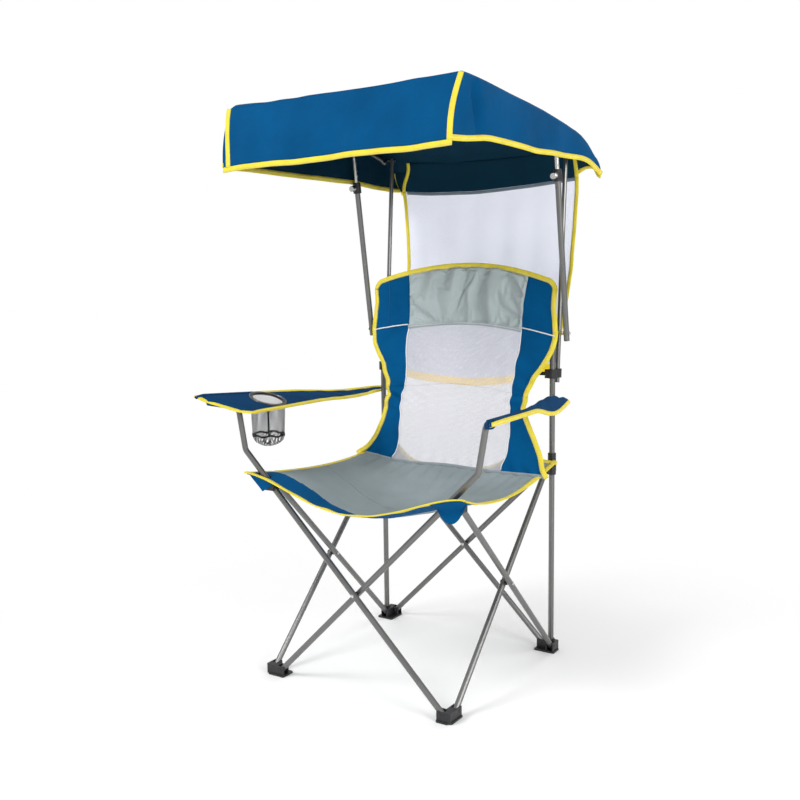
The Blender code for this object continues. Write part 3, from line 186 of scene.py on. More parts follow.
def linear(code):
    """An sRGB hex colour as linear red, green, blue and one."""
    values = [int(code[i:i + 2], 16) / 255 for i in (0, 2, 4)]
    return tuple(v / 12.92 if v <= 0.04045 else ((v + 0.055) / 1.055) ** 2.4 for v in values) + (1.0,)


FLOOR_HALF = 6.0
floor_mesh = bpy.data.meshes.new("floor")
corners = [(-1, -1), (1, -1), (1, 1), (-1, 1)]
floor_mesh.from_pydata([(x * FLOOR_HALF, y * FLOOR_HALF, -0.0004) for x, y in corners], [], [(0, 1, 2, 3)])
floor = bpy.data.objects.new("floor", floor_mesh)
bpy.context.scene.collection.objects.link(floor)
floor_paint = bpy.data.materials.new("floor_paint")
floor_paint.use_nodes = True
tree = floor_paint.node_tree
tree.nodes.clear()
spot = add(tree, "ShaderNodeTexCoord").outputs["Object"]
spread = add(tree, "ShaderNodeVectorMath", operation="LENGTH", I0=spot).outputs["Value"]
fade = add(tree, "ShaderNodeMapRange", interpolation_type="SMOOTHSTEP", Value=spread,
           From_Min=0.55, From_Max=1.35).outputs[0]
seen = straight_rays(tree)
share = add(tree, "ShaderNodeMath", operation="MULTIPLY", I0=fade, I1=seen).outputs[0]
matt = add(tree, "ShaderNodeBsdfDiffuse", Color=linear("fbfbfb")).outputs[0]
white = add(tree, "ShaderNodeEmission", Color=(1, 1, 1, 1), Strength=1.0).outputs[0]
mixed = add(tree, "ShaderNodeMixShader", I0=share, I1=matt, I2=white).outputs[0]
add(tree, "ShaderNodeOutputMaterial", Surface=mixed)
floor_mesh.materials.append(floor_paint)

# %% [markdown]
# ## Materials
#
# Hard surfaces take their pattern from object coordinates. Cloth takes it from its own UV
# map, which is laid out in metres, so that threads, stitches and mesh holes keep one size.
# The real weave has about two threads in a millimetre, which is finer than a pixel of the
# photograph, so it is drawn three times coarser.

# %% Material tools


def maths(tree, operation, first, second=0.0):
    """One Math node's result."""
    return add(tree, "ShaderNodeMath", operation=operation, I0=first, I1=second).outputs[0]


def times(tree, first, second):
    """The product of two values."""
    return maths(tree, "MULTIPLY", first, second)


def noise(tree, spot, scale, detail=2.0, rough=0.5):
    """Noise from 0 to 1 over the given coordinates."""
    made = add(tree, "ShaderNodeTexNoise", Vector=spot, Scale=scale, Detail=detail, Roughness=rough)
    return made.outputs["Fac"]


def ramp(tree, value, low, high, first=0.0, last=1.0):
    """The value moved from one range to another and held at its ends."""
    return add(tree, "ShaderNodeMapRange", Value=value, From_Min=low, From_Max=high, To_Min=first,
               To_Max=last).outputs[0]


def tint(tree, share, first, second, blend="MIX"):
    """Two colours mixed by a share."""
    node = add(tree, "ShaderNodeMix", data_type="RGBA", blend_type=blend, Factor=share)
    put(tree, socket(node, "A"), first)
    put(tree, socket(node, "B"), second)
    return [s for s in node.outputs if s.enabled][0]


def bump(tree, height, depth, strength=1.0, normal=None):
    """A bump whose height of 1 stands for the depth in metres."""
    node = add(tree, "ShaderNodeBump", Strength=strength, Distance=depth, Height=height)
    if normal is not None:
        tree.links.new(normal, node.inputs["Normal"])
    return node.outputs[0]


def start(name):
    """A new material with its tree and its shader."""
    made = bpy.data.materials.new(name)
    made.use_nodes = True
    return made, made.node_tree, made.node_tree.nodes["Principled BSDF"]


def fill(tree, shader, **values):
    """Links or sets sockets of the shader."""
    for key, value in values.items():
        put(tree, socket(shader, key.replace("_", " ")), value)


def scaled(colour, factor, extra=0.0):
    """A linear colour made darker or paler, and no brighter than white."""
    return tuple(min(1.0, v * factor + extra) for v in colour[:3]) + (1.0,)


# %% Hard materials


def powder_coat(name, code):
    """Silver-grey powder coat on tube: a fine orange peel, slight clouding and scuffs."""
    made, tree, shader = start(name)
    spot = add(tree, "ShaderNodeTexCoord").outputs["Object"]
    peel = noise(tree, spot, 900.0, 2.0)
    cloud = noise(tree, spot, 9.0, 3.0)
    scuff = ramp(tree, noise(tree, spot, 60.0, 4.0, 0.7), 0.62, 0.72)
    base = linear(code)
    colour = tint(tree, cloud, scaled(base, 0.86), scaled(base, 1.10))
    colour = tint(tree, times(tree, scuff, 0.25), colour, linear("b4b3ae"))
    rough = ramp(tree, cloud, 0.3, 0.7, 0.26, 0.36)
    fill(tree, shader, Base_Color=colour, Metallic=0.80, Roughness=rough,
         Normal=bump(tree, peel, 0.00008, 0.6))
    return made


def moulded(name, code, rough):
    """Black moulded plastic with a fine spark-eroded grain and rubbed, paler spots."""
    made, tree, shader = start(name)
    spot = add(tree, "ShaderNodeTexCoord").outputs["Object"]
    grain = noise(tree, spot, 1500.0, 2.0)
    cloud = noise(tree, spot, 45.0, 4.0, 0.65)
    rubbed = ramp(tree, cloud, 0.58, 0.74, 0.0, 0.35)
    colour = tint(tree, rubbed, linear(code), linear("4a4a4d"))
    roughness = ramp(tree, cloud, 0.3, 0.7, rough - 0.06, rough + 0.10)
    fill(tree, shader, Base_Color=colour, Roughness=roughness, Normal=bump(tree, grain, 0.00010, 0.7))
    return made


def bright_steel(name):
    """Zinc-plated steel: bright, with a faint cloudy finish."""
    made, tree, shader = start(name)
    spot = add(tree, "ShaderNodeTexCoord").outputs["Object"]
    cloud = noise(tree, spot, 160.0, 3.0)
    colour = tint(tree, cloud, linear("b2b2ae"), linear("dcdcd8"))
    rough = ramp(tree, cloud, 0.3, 0.7, 0.16, 0.30)
    fill(tree, shader, Base_Color=colour, Metallic=1.0, Roughness=rough,
         Normal=bump(tree, noise(tree, spot, 700.0), 0.00004, 0.5))
    return made


TUBE = powder_coat("powder_coated_tube", "7a7a79")
PLASTIC = moulded("black_plastic", "202023", 0.42)
STEEL = bright_steel("zinc_plated_steel")

# %% Cloth materials
THREAD = 0.0015


def uv_parts(tree):
    """The two UV lengths of a cloth, in metres."""
    spot = add(tree, "ShaderNodeUVMap", uv_map="UVMap").outputs[0]
    parts = add(tree, "ShaderNodeSeparateXYZ", Vector=spot)
    return spot, parts.outputs[0], parts.outputs[1]


def weave(tree, u, v):
    """A plain weave: crossing threads that take turns on top, as a height from 0 to 1."""
    a = maths(tree, "SINE", times(tree, u, math.pi / THREAD))
    b = maths(tree, "SINE", times(tree, v, math.pi / THREAD))
    warp = maths(tree, "ABSOLUTE", a)
    weft = maths(tree, "ABSOLUTE", b)
    over = times(tree, a, b)
    turn = ramp(tree, over, -0.25, 0.25)
    return maths(tree, "ADD", times(tree, warp, turn), times(tree, weft, maths(tree, "SUBTRACT", 1.0, turn)))


def woven(name, code, spread=0.16, fold=0.0012):
    """Woven polyester: plain weave with a painted highlight on its raised threads, patches that are paler or
    darker by the spread, and creases fold deep.
    """
    made, tree, shader = start(name)
    spot, u, v = uv_parts(tree)
    cloth = weave(tree, u, v)
    patches = noise(tree, spot, 7.0, 3.0, 0.55)
    flecks = noise(tree, spot, 260.0, 2.0)
    base = linear(code)
    colour = tint(tree, ramp(tree, patches, 0.3, 0.7), scaled(base, 1 - spread), scaled(base, 1 + spread))
    # painted highlight: the raised threads of the weave are drawn paler than the cloth
    colour = tint(tree, times(tree, cloth, 0.22), colour, scaled(base, 1.35, 0.001))
    colour = tint(tree, ramp(tree, flecks, 0.35, 0.65, 0.0, 0.12), colour, scaled(base, 0.7))
    crease = noise(tree, spot, 26.0, 4.0, 0.55)
    first = bump(tree, crease, fold, 0.8)
    second = bump(tree, cloth, 0.00028, 0.7, first)
    fill(tree, shader, Base_Color=colour, Roughness=0.82, Specular_IOR_Level=0.06, Normal=second)
    return made


def open_mesh(name, code, hole, cover, thread_code, dense, soft=0.12, glow=0.0, turned=False):
    """Knitted mesh: round holes in offset rows, with rounded threads between that let a little light by.

    hole is the rows' distance, cover the share of thread, dense how much it hides, and soft how far a
    hole's rim fades. turned lays the rows at 45 degrees to the cloth's edges, and glow stands for the
    light that comes through from behind.
    """
    made, tree, shader = start(name)
    spot, u, v = uv_parts(tree)
    if turned:
        u, v = maths(tree, "ADD", u, v), maths(tree, "SUBTRACT", u, v)
    a = maths(tree, "SINE", times(tree, u, 2 * math.pi / hole))
    b = maths(tree, "SINE", times(tree, v, 2 * math.pi / hole))
    depth = times(tree, maths(tree, "ADD", a, b), 0.5)
    limit = 1 - 2 * (1 - cover)
    solid = ramp(tree, depth, limit - soft, limit + soft, 1.0, 0.0)
    patches = noise(tree, spot, 9.0, 3.0)
    base = linear(code)
    colour = tint(tree, ramp(tree, patches, 0.3, 0.7), scaled(base, 0.86), base)
    colour = tint(tree, ramp(tree, depth, -1.0, limit), colour, linear(thread_code))
    fill(tree, shader, Emission_Color=colour, Emission_Strength=glow)
    fill(tree, shader, Base_Color=colour, Roughness=0.8, Alpha=times(tree, solid, dense),
         Specular_IOR_Level=0.1, Normal=bump(tree, times(tree, depth, -1.0), 0.0004, 0.8))
    return made


def tape_cloth(name, code, stitches=(), rib=0.0011, thread="f4f1dc", glow=0.0):
    """Ribbed binding tape, with painted shade in the grooves between its ribs, and rows of stitches at the
    given distances across it.

    A glow stands for the light that comes through thin cloth from behind.
    """
    made, tree, shader = start(name)
    spot, u, v = uv_parts(tree)
    ribs = maths(tree, "ABSOLUTE", maths(tree, "SINE", times(tree, u, math.pi / rib)))
    patches = noise(tree, spot, 30.0, 3.0, 0.6)
    base = linear(code)
    colour = tint(tree, ramp(tree, patches, 0.3, 0.7), scaled(base, 0.90), scaled(base, 1.06))
    # painted shade: the grooves between the ribs are drawn darker
    colour = tint(tree, times(tree, maths(tree, "SUBTRACT", 1.0, ribs), 0.14), colour, scaled(base, 0.6))
    height = times(tree, ribs, 0.35)
    for row in stitches:
        near = ramp(tree, maths(tree, "ABSOLUTE", maths(tree, "SUBTRACT", v, row)), 0.0, 0.0011, 1.0, 0.0)
        beat = maths(tree, "SINE", times(tree, u, 2 * math.pi / 0.0052))
        stitch = times(tree, near, ramp(tree, beat, -0.35, 0.1))
        colour = tint(tree, times(tree, stitch, 0.85), colour, linear(thread))
        hollow = times(tree, near, 0.8)
        height = maths(tree, "ADD", maths(tree, "SUBTRACT", height, hollow), times(tree, stitch, 1.3))
    fill(tree, shader, Base_Color=colour, Emission_Color=colour, Emission_Strength=glow)
    fill(tree, shader, Roughness=0.78, Specular_IOR_Level=0.15, Normal=bump(tree, height, 0.00045, 0.8))
    return made


BLUE = woven("blue_polyester", "005082", fold=0.0030)
BLUE_DARK = woven("blue_polyester_armrest", "0b3b63")
# painted shade: the canopy's blue is the seat's blue cloth drawn darker
CANOPY_BLUE_SHADED = woven("blue_polyester_canopy_painted_shade", "004a79", fold=0.0030)
# painted shade: the inner skins and the curtain's band are the blue drawn as dark as it looks in shade
INNER_SHADE_BLUE = woven("lining_blue_painted_shade", "0b2f41", spread=0.14)
GREY = woven("grey_polyester", "8d989b", spread=0.12, fold=0.0024)
PALE_GREY = woven("pale_grey_polyester", "b0bbbc", spread=0.08)
WHITE_MESH = open_mesh("white_mesh", "c6c6ce", 0.0034, 0.62, "d8d8e0", dense=0.66, soft=0.35, glow=0.11)
CURTAIN_MESH = open_mesh("curtain_mesh", "e2e6f5", 0.0030, 0.68, "eef1fc", dense=0.85, soft=0.40, glow=0.22)
DARK_MESH = open_mesh("dark_mesh", "34343c", 0.0074, 0.40, "26262c", dense=0.85, turned=True)
YELLOW = tape_cloth("yellow_binding", "ead746", stitches=(0.0062, 0.0268))
HEM_YELLOW = tape_cloth("yellow_curtain_hem", "fdd22c", stitches=(0.004,), glow=0.62)
BLACK_TAPE = tape_cloth("black_tape", "1c1c1e", thread="3a3a3c")
GREY_TAPE = tape_cloth("grey_seam_tape", "8f999e", stitches=(0.0035,), thread="aab3b6")
HEM_TAPE = tape_cloth("grey_hem", "a9b3b5", stitches=(0.0024, 0.0076), thread="ffffff")
SEAM_TAPE = tape_cloth("curtain_overlap_seam", "7c8996", stitches=(0.0022, 0.0066), thread="f4f5f9")
BLUE_SEAM = tape_cloth("blue_seam", "04477c", stitches=(0.0015,), thread="2f6fa8")
PIPING = tape_cloth("white_piping", "f2f2f3", rib=0.0016)
print("materials", len(bpy.data.materials))

# %% [markdown]
# ## Finishes of the carried-over pieces
#
# Tubes are powder coated, rivets, bolts, rods and knobs are bright steel, and all the rest
# of the hard pieces is black plastic.

# %% Assign by name
STEEL_WORDS = ("rivet_", "bolt", "strut_rod", "clamp_knob")
TUBE_WORDS = ("_tube_", "tube_", "post", "canopy_rail")
for name, node in nodes.items():
    finish = PLASTIC
    if any(word in name for word in TUBE_WORDS):
        finish = TUBE
    if any(word in name for word in STEEL_WORDS):
        finish = STEEL
    for holder in node.material_slots:
        holder.material = finish

# %% [markdown]
# ## Sheets, sweeps and numbers
#
# A sheet is a grid of points with two skins. A sweep carries a small outline along a path
# and makes tape, piping and straps. Both write their UV map in metres.

# %% Number tools


def blend_between(first, second, share):
    """A value that goes from the first to the second."""
    return first + (second - first) * share


def ease(value, low, high):
    """0 below low, 1 above high, smooth between."""
    t = np.clip((value - low) / (high - low), 0.0, 1.0)
    return t * t * (3 - 2 * t)


def unit(vectors):
    """Vectors brought to length one."""
    return vectors / np.maximum(np.linalg.norm(vectors, axis=-1, keepdims=True), 1e-12)


def hump(value, middle, width):
    """A bell of height one about the middle."""
    return np.exp(-((value - middle) / width) ** 2)


def read_shares(table, share, reach=0.04):
    """Reads a table of places and values, averaged over a short reach."""
    table = np.array(table, float)
    spots = [share + reach * step for step in (-1, -0.5, 0, 0.5, 1)]
    return sum(np.interp(spot, table[:, 0], table[:, 1]) for spot in spots) / 5


def lattice(u, v, cells, seed):
    """Smooth random waves from -1 to 1 over u and v, with the given number of cells in a metre."""
    size = 64
    values = np.random.RandomState(seed).uniform(-1, 1, (size, size))
    x = u * cells
    y = v * cells
    i = np.floor(x).astype(int)
    j = np.floor(y).astype(int)
    a = x - i
    b = y - j
    a = a * a * (3 - 2 * a)
    b = b * b * (3 - 2 * b)
    i0, i1, j0, j1 = i % size, (i + 1) % size, j % size, (j + 1) % size
    low = values[i0, j0] * (1 - a) + values[i1, j0] * a
    high = values[i0, j1] * (1 - a) + values[i1, j1] * a
    return low * (1 - b) + high * b


# %% Mesh tools


def mesh_piece(name, points, faces, uvs, slots, materials):
    """A mesh object from arrays of points, faces, UVs for each point and a material for each face."""
    mesh = bpy.data.meshes.new(name)
    mesh.from_pydata(np.asarray(points, float).tolist(), [], [list(map(int, f)) for f in faces])
    layer = mesh.uv_layers.new(name="UVMap")
    corner = np.zeros(len(mesh.loops), np.int32)
    mesh.loops.foreach_get("vertex_index", corner)
    layer.data.foreach_set("uv", np.asarray(uvs, np.float32)[corner].ravel())
    for finish in materials:
        mesh.materials.append(finish)
    mesh.polygons.foreach_set("material_index", np.asarray(slots, np.int32))
    mesh.shade_smooth()
    mesh.update()
    made = bpy.data.objects.new(name, mesh)
    bpy.context.scene.collection.objects.link(made)
    return made


def grid_normals(grid):
    """Unit normals of a grid of points, by the differences along its two directions."""
    return unit(np.cross(np.gradient(grid, axis=0), np.gradient(grid, axis=1)))


def lengths(grid):
    """UVs of a grid in metres: the way run along each direction from its first line."""
    u = np.zeros(grid.shape[:2])
    v = np.zeros(grid.shape[:2])
    u[1:] = np.cumsum(np.linalg.norm(np.diff(grid, axis=0), axis=2), axis=0)
    v[:, 1:] = np.cumsum(np.linalg.norm(np.diff(grid, axis=1), axis=2), axis=1)
    return np.stack([u - u[len(u) // 2] + 1.0, v], -1)


def cells(rows, columns, keep=None):
    """The four-sided faces between neighbouring points of a grid, and where each lies."""
    i, j = np.meshgrid(np.arange(rows - 1), np.arange(columns - 1), indexing="ij")
    i, j = i.ravel(), j.ravel()
    if keep is not None:
        chosen = keep[i, j]
        i, j = i[chosen], j[chosen]
    here, below = i * columns + j, (i + 1) * columns + j
    return np.stack([here, below, below + 1, here + 1], 1), i, j


def sheet_piece(name, grid, thick, materials, front=0, back=0, keep=None, uvs=None):
    """A cloth of two skins a thickness apart, closed at its edges.

    front and back give the material of each cell as arrays, or are the number of one material.
    keep is an array that is false where the cloth is cut away, and uvs are the UVs where the piece is
    a part of a larger cloth.
    """
    rows, columns = grid.shape[:2]
    normal = grid_normals(grid)
    upper = (grid + normal * thick / 2).reshape(-1, 3)
    points = np.concatenate([upper, (grid - normal * thick / 2).reshape(-1, 3)])
    faces, i, j = cells(rows, columns, keep=keep)
    count = rows * columns
    shape = (rows - 1, columns - 1)
    slots = [np.broadcast_to(front, shape)[i, j], np.broadcast_to(back, shape)[i, j]]
    sides = np.concatenate([faces[:, [0, 1]], faces[:, [1, 2]], faces[:, [2, 3]], faces[:, [3, 0]]])
    key = {}
    for n, (a, b) in enumerate(sides.tolist()):
        if (b, a) in key:
            del key[(b, a)]
        else:
            key[(a, b)] = n
    rim = np.array([(a, b) for a, b in key], int).reshape(-1, 2)
    owner = np.array([n % len(faces) for n in key.values()], int)
    rims = np.stack([rim[:, 1], rim[:, 0], rim[:, 0] + count, rim[:, 1] + count], 1)
    slots.append(slots[0][owner])
    uv = (lengths(grid) if uvs is None else uvs).reshape(-1, 2)
    return mesh_piece(name, points + SHIFT, np.concatenate([faces, faces[:, ::-1] + count, rims]).tolist(),
                      np.concatenate([uv, uv]), np.concatenate(slots), materials)


def sweep(name, path, normal, outline, material, closed=False):
    """An outline carried along a path.

    The outline's first number points into the cloth, and its second along the normal.
    """
    path = np.asarray(path, float)
    normal = unit(np.asarray(normal, float))
    count = len(path)
    if closed:
        along = unit(np.roll(path, -1, 0) - np.roll(path, 1, 0))
    else:
        along = unit(np.gradient(path, axis=0))
    side = unit(np.cross(normal, along))
    normal = unit(np.cross(along, side))
    outline = np.asarray(outline, float)
    size = len(outline)
    ring = path[:, None] + side[:, None] * outline[None, :, :1] + normal[:, None] * outline[None, :, 1:]
    steps = np.linalg.norm(np.roll(path, -1, 0) - path, axis=1)
    run = np.concatenate([[0], np.cumsum(steps)])
    around = np.concatenate([[0], np.cumsum(np.linalg.norm(np.roll(outline, -1, 0) - outline, axis=1))])
    lines = count + 1 if closed else count
    ring = np.concatenate([ring, ring[:1]]) if closed else ring
    ring = np.concatenate([ring, ring[:, :1]], 1)
    uv = np.stack(np.meshgrid(run[:lines], around, indexing="ij"), -1)
    faces, _, _ = cells(lines, size + 1)
    faces = faces[:, ::-1].tolist()
    points = ring.reshape(-1, 3)
    if not closed:
        first = list(range(size))
        last = [(lines - 1) * (size + 1) + n for n in range(size)]
        faces += [first, last[::-1]]
    made = mesh_piece(name, points + SHIFT, faces, uv.reshape(-1, 2), np.zeros(len(faces), int), [material])
    join_seams(made)
    return made


def join_seams(obj, distance=0.00001):
    """Joins points that lie on each other and turns all faces outward, keeping the UVs of each corner."""
    work = bmesh.new()
    work.from_mesh(obj.data)
    bmesh.ops.remove_doubles(work, verts=work.verts, dist=distance)
    bmesh.ops.recalc_face_normals(work, faces=work.faces)
    work.to_mesh(obj.data)
    work.free()
    obj.data.shade_smooth()
    return obj


def fold_outline(width, thick, over=0.0012):
    """The outline of a tape folded over a cloth's edge: two flat wings and a rounded fold."""
    h = thick / 2 + 0.0009
    return [(width, h), (width * 0.5, h + 0.0002), (0.0, h), (-over * 0.8, h * 0.6), (-over, 0.0),
            (-over * 0.8, -h * 0.6), (0.0, -h), (width * 0.5, -h - 0.0002), (width, -h)]


def round_outline(radius, sides=8, lift=0.0):
    """A round outline, lifted along the normal."""
    turns = np.arange(sides) * 2 * math.pi / sides
    return np.stack([radius * np.cos(turns), lift + radius * np.sin(turns)], 1)


def flat_outline(width, thick, lift=0.0):
    """A flat strap's outline with slightly rounded edges."""
    w, h = width / 2, thick / 2
    return [(w, lift), (w * 0.94, lift + h), (0.0, lift + h), (-w * 0.94, lift + h), (-w, lift),
            (-w * 0.94, lift - h), (0.0, lift - h), (w * 0.94, lift - h)]


print("tools ready")

# %% [markdown]
# ## Canopy
#
# The roof line falls gently to the rear. A cross-section runs up the left flap, over the
# roof and down the right flap, and the front and rear flaps close its ends. The outside is
# blue, drawn darker than the seat's blue as painted shade, the lining a dark blue that is
# painted shade, and every lower edge and corner is bound in yellow.

# %% Canopy shape
CLOTH = 0.0016  # thickness of the seat's cloth and of the CAD solids
SKIN = 0.0014  # thickness of the thinner cloth of canopy, back and pockets
ROOF_HALF_WIDTH = 0.323
ROOF_FRONT, ROOF_FRONT_HEIGHT, ROOF_SAG = -0.314, 1.440, 0.010
HEM_FRONT, HEM_REAR, HEM_REAR_HEIGHT = -0.343, 0.452, 1.279
ROOF_BACK = HEM_REAR - (HEM_REAR - ROOF_FRONT) * 0.045
ROOF_DROP = (ROOF_FRONT_HEIGHT - HEM_REAR_HEIGHT) * 0.73
ROOF_LINE = ((0.0, 0.0), (0.21, -0.083), (0.39, -0.17), (0.58, -0.26), (0.78, -0.43), (0.88, -0.62),
             (0.955, -0.85), (1.0, -1.0))

# The hood sits a little rolled: how far each side edge of the roof lies above the roof line,
# and the height of each side's hem, both by the share of the way back.
LEFT_LIFT = ((0.0, -0.0100), (0.012, -0.004), (0.022, 0.0), (0.78, 0.0), (0.84, 0.006), (0.93, 0.009),
             (1.0, 0.0))
RIGHT_LIFT = ((0.0, 0.0065), (0.06, 0.008), (0.30, 0.008), (0.45, 0.007), (0.60, 0.004), (0.78, 0.003),
              (0.84, 0.008), (0.93, 0.010), (1.0, 0.002))
LEFT_HEM = ((0.0, 1.2878), (0.28, 1.2835), (0.67, 1.2817), (0.82, 1.2744), (0.96, 1.2694), (1.0, 1.2750))
RIGHT_HEM = ((0.0, 1.3040), (0.08, 1.3084), (0.19, 1.3179), (0.31, 1.3159), (0.49, 1.3101), (0.64, 1.3129),
             (0.83, 1.3150), (0.91, 1.3099), (1.0, 1.2830))
# How far the two front corners of the hood lie to the right, at the roof and at the hem.
LEFT_LEAN, RIGHT_LEAN = (0.010, 0.008), (0.010, -0.006)


def roof_line(share):
    """The roof's side edge: distance back and height at a share of its length."""
    height = ROOF_FRONT_HEIGHT + ROOF_DROP * read_shares(ROOF_LINE, share)
    return ROOF_FRONT + (ROOF_BACK - ROOF_FRONT) * share, height


def roof_lift(across, share):
    """How far the roof lies above its line, from -1 at the left edge to 1 at the right."""
    left = read_shares(LEFT_LIFT, share, 0.006)
    right = read_shares(RIGHT_LIFT, share, 0.02)
    sag = ROOF_SAG * (0.30 + 0.70 * ease(share, 0.0, 0.35))
    return blend_between(left, right, (across + 1) / 2) - sag * (1 - across * across) ** 2


def hem_point(side, share):
    """The lower edge of one side flap: distance back and height at a share of its length."""
    height = read_shares(LEFT_HEM if side < 0 else RIGHT_HEM, share, 0.025)
    return HEM_FRONT + (HEM_REAR - HEM_FRONT) * share, height


def roof_height(x, y):
    """Height of the roof's cloth over a point."""
    share = (y - ROOF_FRONT) / (ROOF_BACK - ROOF_FRONT)
    return roof_line(share)[1] + roof_lift(np.clip(x / ROOF_HALF_WIDTH, -1, 1), share)


FLAP_ROWS, ROOF_COLUMNS, HOOD_ROWS = 20, 96, 150
section = np.concatenate([np.linspace(-1, 0, FLAP_ROWS, endpoint=False), np.linspace(0, 1, ROOF_COLUMNS),
                          np.linspace(1, 2, FLAP_ROWS + 1)[1:]])
part, share = np.meshgrid(section, np.linspace(0, 1, HOOD_ROWS), indexing="ij")
across_roof = np.clip(part, 0, 1) * 2 - 1
drop = np.clip(-part, 0, 1) + np.clip(part - 1, 0, 1)
top_y, top_z = roof_line(share)
hem_y, left_hem = hem_point(-1, share)
hem_z = np.where(part < 0.5, left_hem, hem_point(1, share)[1])
waves = 0.0045 * lattice(share * 0.8, drop * 0.12, 13, 3) + 0.0026 * np.sin(31 * share + 2 * drop)
crease = hump(share * 0.73 - 0.040 - 0.075 * drop, 0, 0.012) * np.sin(np.pi * drop) * (part > 1)
bow = 0.0045 * np.sin(np.pi * drop) + waves * drop ** 1.5 * np.sin(np.pi * share) ** 0.4 - 0.0180 * crease
bow = bow + 0.0045 * np.sin(np.pi * drop) * hump(share, 0.0, 0.08) * np.where(part < 0.5, 1, -2.6)
bow = bow + 0.0120 * drop * hump(share, 0.075, 0.055) * (part < 0)
near_left, near_right = 1 - ease(share, 0.0, 0.05), 1 - ease(share, 0.0, 0.35)
lean = np.where(part < 0.5, blend_between(*LEFT_LEAN, drop) * near_left,
                blend_between(*RIGHT_LEAN, drop) * near_right)
roof_lean = blend_between(LEFT_LEAN[0] * near_left, RIGHT_LEAN[0] * near_right, (across_roof + 1) / 2)
lean = np.where(drop > 0, lean, roof_lean)
x = across_roof * ROOF_HALF_WIDTH + np.sign(across_roof) * bow + lean
y = blend_between(top_y, hem_y, drop)
z = blend_between(top_z + roof_lift(across_roof, share), hem_z, drop)
ridges = 0.0026 * lattice(x, y * 0.5, 9, 4) + 0.0015 * lattice(x, y, 24, 5)
z = z + ridges * (drop <= 0) * (1 - across_roof ** 6)
hood_grid = np.stack([x, y, z], -1)
for _ in range(2):
    hood_grid[1:-1] = (hood_grid[:-2] + 2 * hood_grid[1:-1] + hood_grid[2:]) / 4
# painted shade on both skins: the outer blue is drawn darker, and the inner skin dark as in shade
hood = sheet_piece("canopy_roof", hood_grid, SKIN, [CANOPY_BLUE_SHADED, INNER_SHADE_BLUE], 0, 1)


def end_flap(share, bulge, seed):
    """The flap at the front or rear: from the roof's end down to the hem, between the side flaps."""
    top = hood_grid[FLAP_ROWS:-FLAP_ROWS, 0 if share == 0 else -1]
    down = np.linspace(0, 1, FLAP_ROWS + 6)[None, :]
    u = np.linspace(-1, 1, len(top))[:, None]
    hem_y, left = hem_point(-1, np.array(float(share)))
    hem_z = blend_between(left, hem_point(1, np.array(float(share)))[1], (u + 1) / 2)
    lean = blend_between(LEFT_LEAN[1], RIGHT_LEAN[1], (u + 1) / 2) if share == 0 else 0.0
    x = blend_between(top[:, :1], u * ROOF_HALF_WIDTH + lean, down)
    x = x + (np.where(u < 0, 0.0090, -0.0072) if share == 0 else 0.0045) * u ** 5 * np.sin(np.pi * down)
    y = blend_between(top[:, 1:2], hem_y, down) + bulge * np.sin(np.pi * down) * (1 - u ** 4)
    wave = 0.0050 * lattice(u * 0.5 + 2, down * 0.15, 9, seed) + 0.0022 * np.sin(19 * u + 3 * down + seed)
    rise = 0.0 if share == 0 else 0.028 * hump(u, 0.88, 0.15) * (1 - ease(u, 0.93, 1.0))
    z = blend_between(top[:, 2:3], hem_z + 0.0015 * np.sin(7 * u) + rise, down)
    return np.stack([x, y + wave * down ** 1.3 * (1 - u ** 8), z], -1)


front_flap = end_flap(0, -0.004, 11)
rear_flap = end_flap(1, 0.004, 12)
# painted shade on both skins of the flaps, as on the roof
flap_front = sheet_piece("canopy_front_flap", front_flap[::-1], SKIN, [CANOPY_BLUE_SHADED, INNER_SHADE_BLUE], 0, 1)
flap_rear = sheet_piece("canopy_rear_flap", rear_flap, SKIN, [CANOPY_BLUE_SHADED, INNER_SHADE_BLUE], 0, 1)
print("canopy points", hood_grid.shape, front_flap.shape)

# %% Canopy binding
BINDING = 0.0115
hood_normal = grid_normals(hood_grid)
canopy_tapes = []
for word, row in (("left", 0), ("right", -1)):
    turn = hood_normal[row] * (-1 if row == 0 else 1)
    canopy_tapes.append(sweep("canopy_hem_tape_" + word, hood_grid[row], turn,
                              fold_outline(BINDING, SKIN), YELLOW))
for word, flap in (("front", front_flap), ("rear", rear_flap)):
    turn = grid_normals(flap)
    canopy_tapes.append(sweep("canopy_hem_tape_" + word, flap[:, -1], turn[:, -1],
                              fold_outline(BINDING, SKIN), YELLOW))
    for side, column in (("left", 0), ("right", -1)):
        path = flap[column].copy()
        if (word, side) == ("front", "left"):  # the flap bows out there, so the tape keeps inside its edge
            step = 3.2 * np.sin(np.pi / 2 * np.linspace(0, 1, len(path)))
            whole, row = step.astype(int), np.arange(len(path))
            path = blend_between(flap[whole, row], flap[whole + 1, row], (step - whole)[:, None])
            path[:, 1] -= 0.0008
        canopy_tapes.append(sweep(f"canopy_corner_tape_{word}_{side}", path, turn[column],
                                  fold_outline(BINDING, SKIN), YELLOW))

# %% [markdown]
# ## Rear curtain
#
# White mesh hangs from under the roof's rear to the posts. It has a dark blue band at its top,
# whose colour is painted shade, and yellow edges. The band is a piece of its own, because it tilts
# with the canopy, and the mesh stays with the posts.

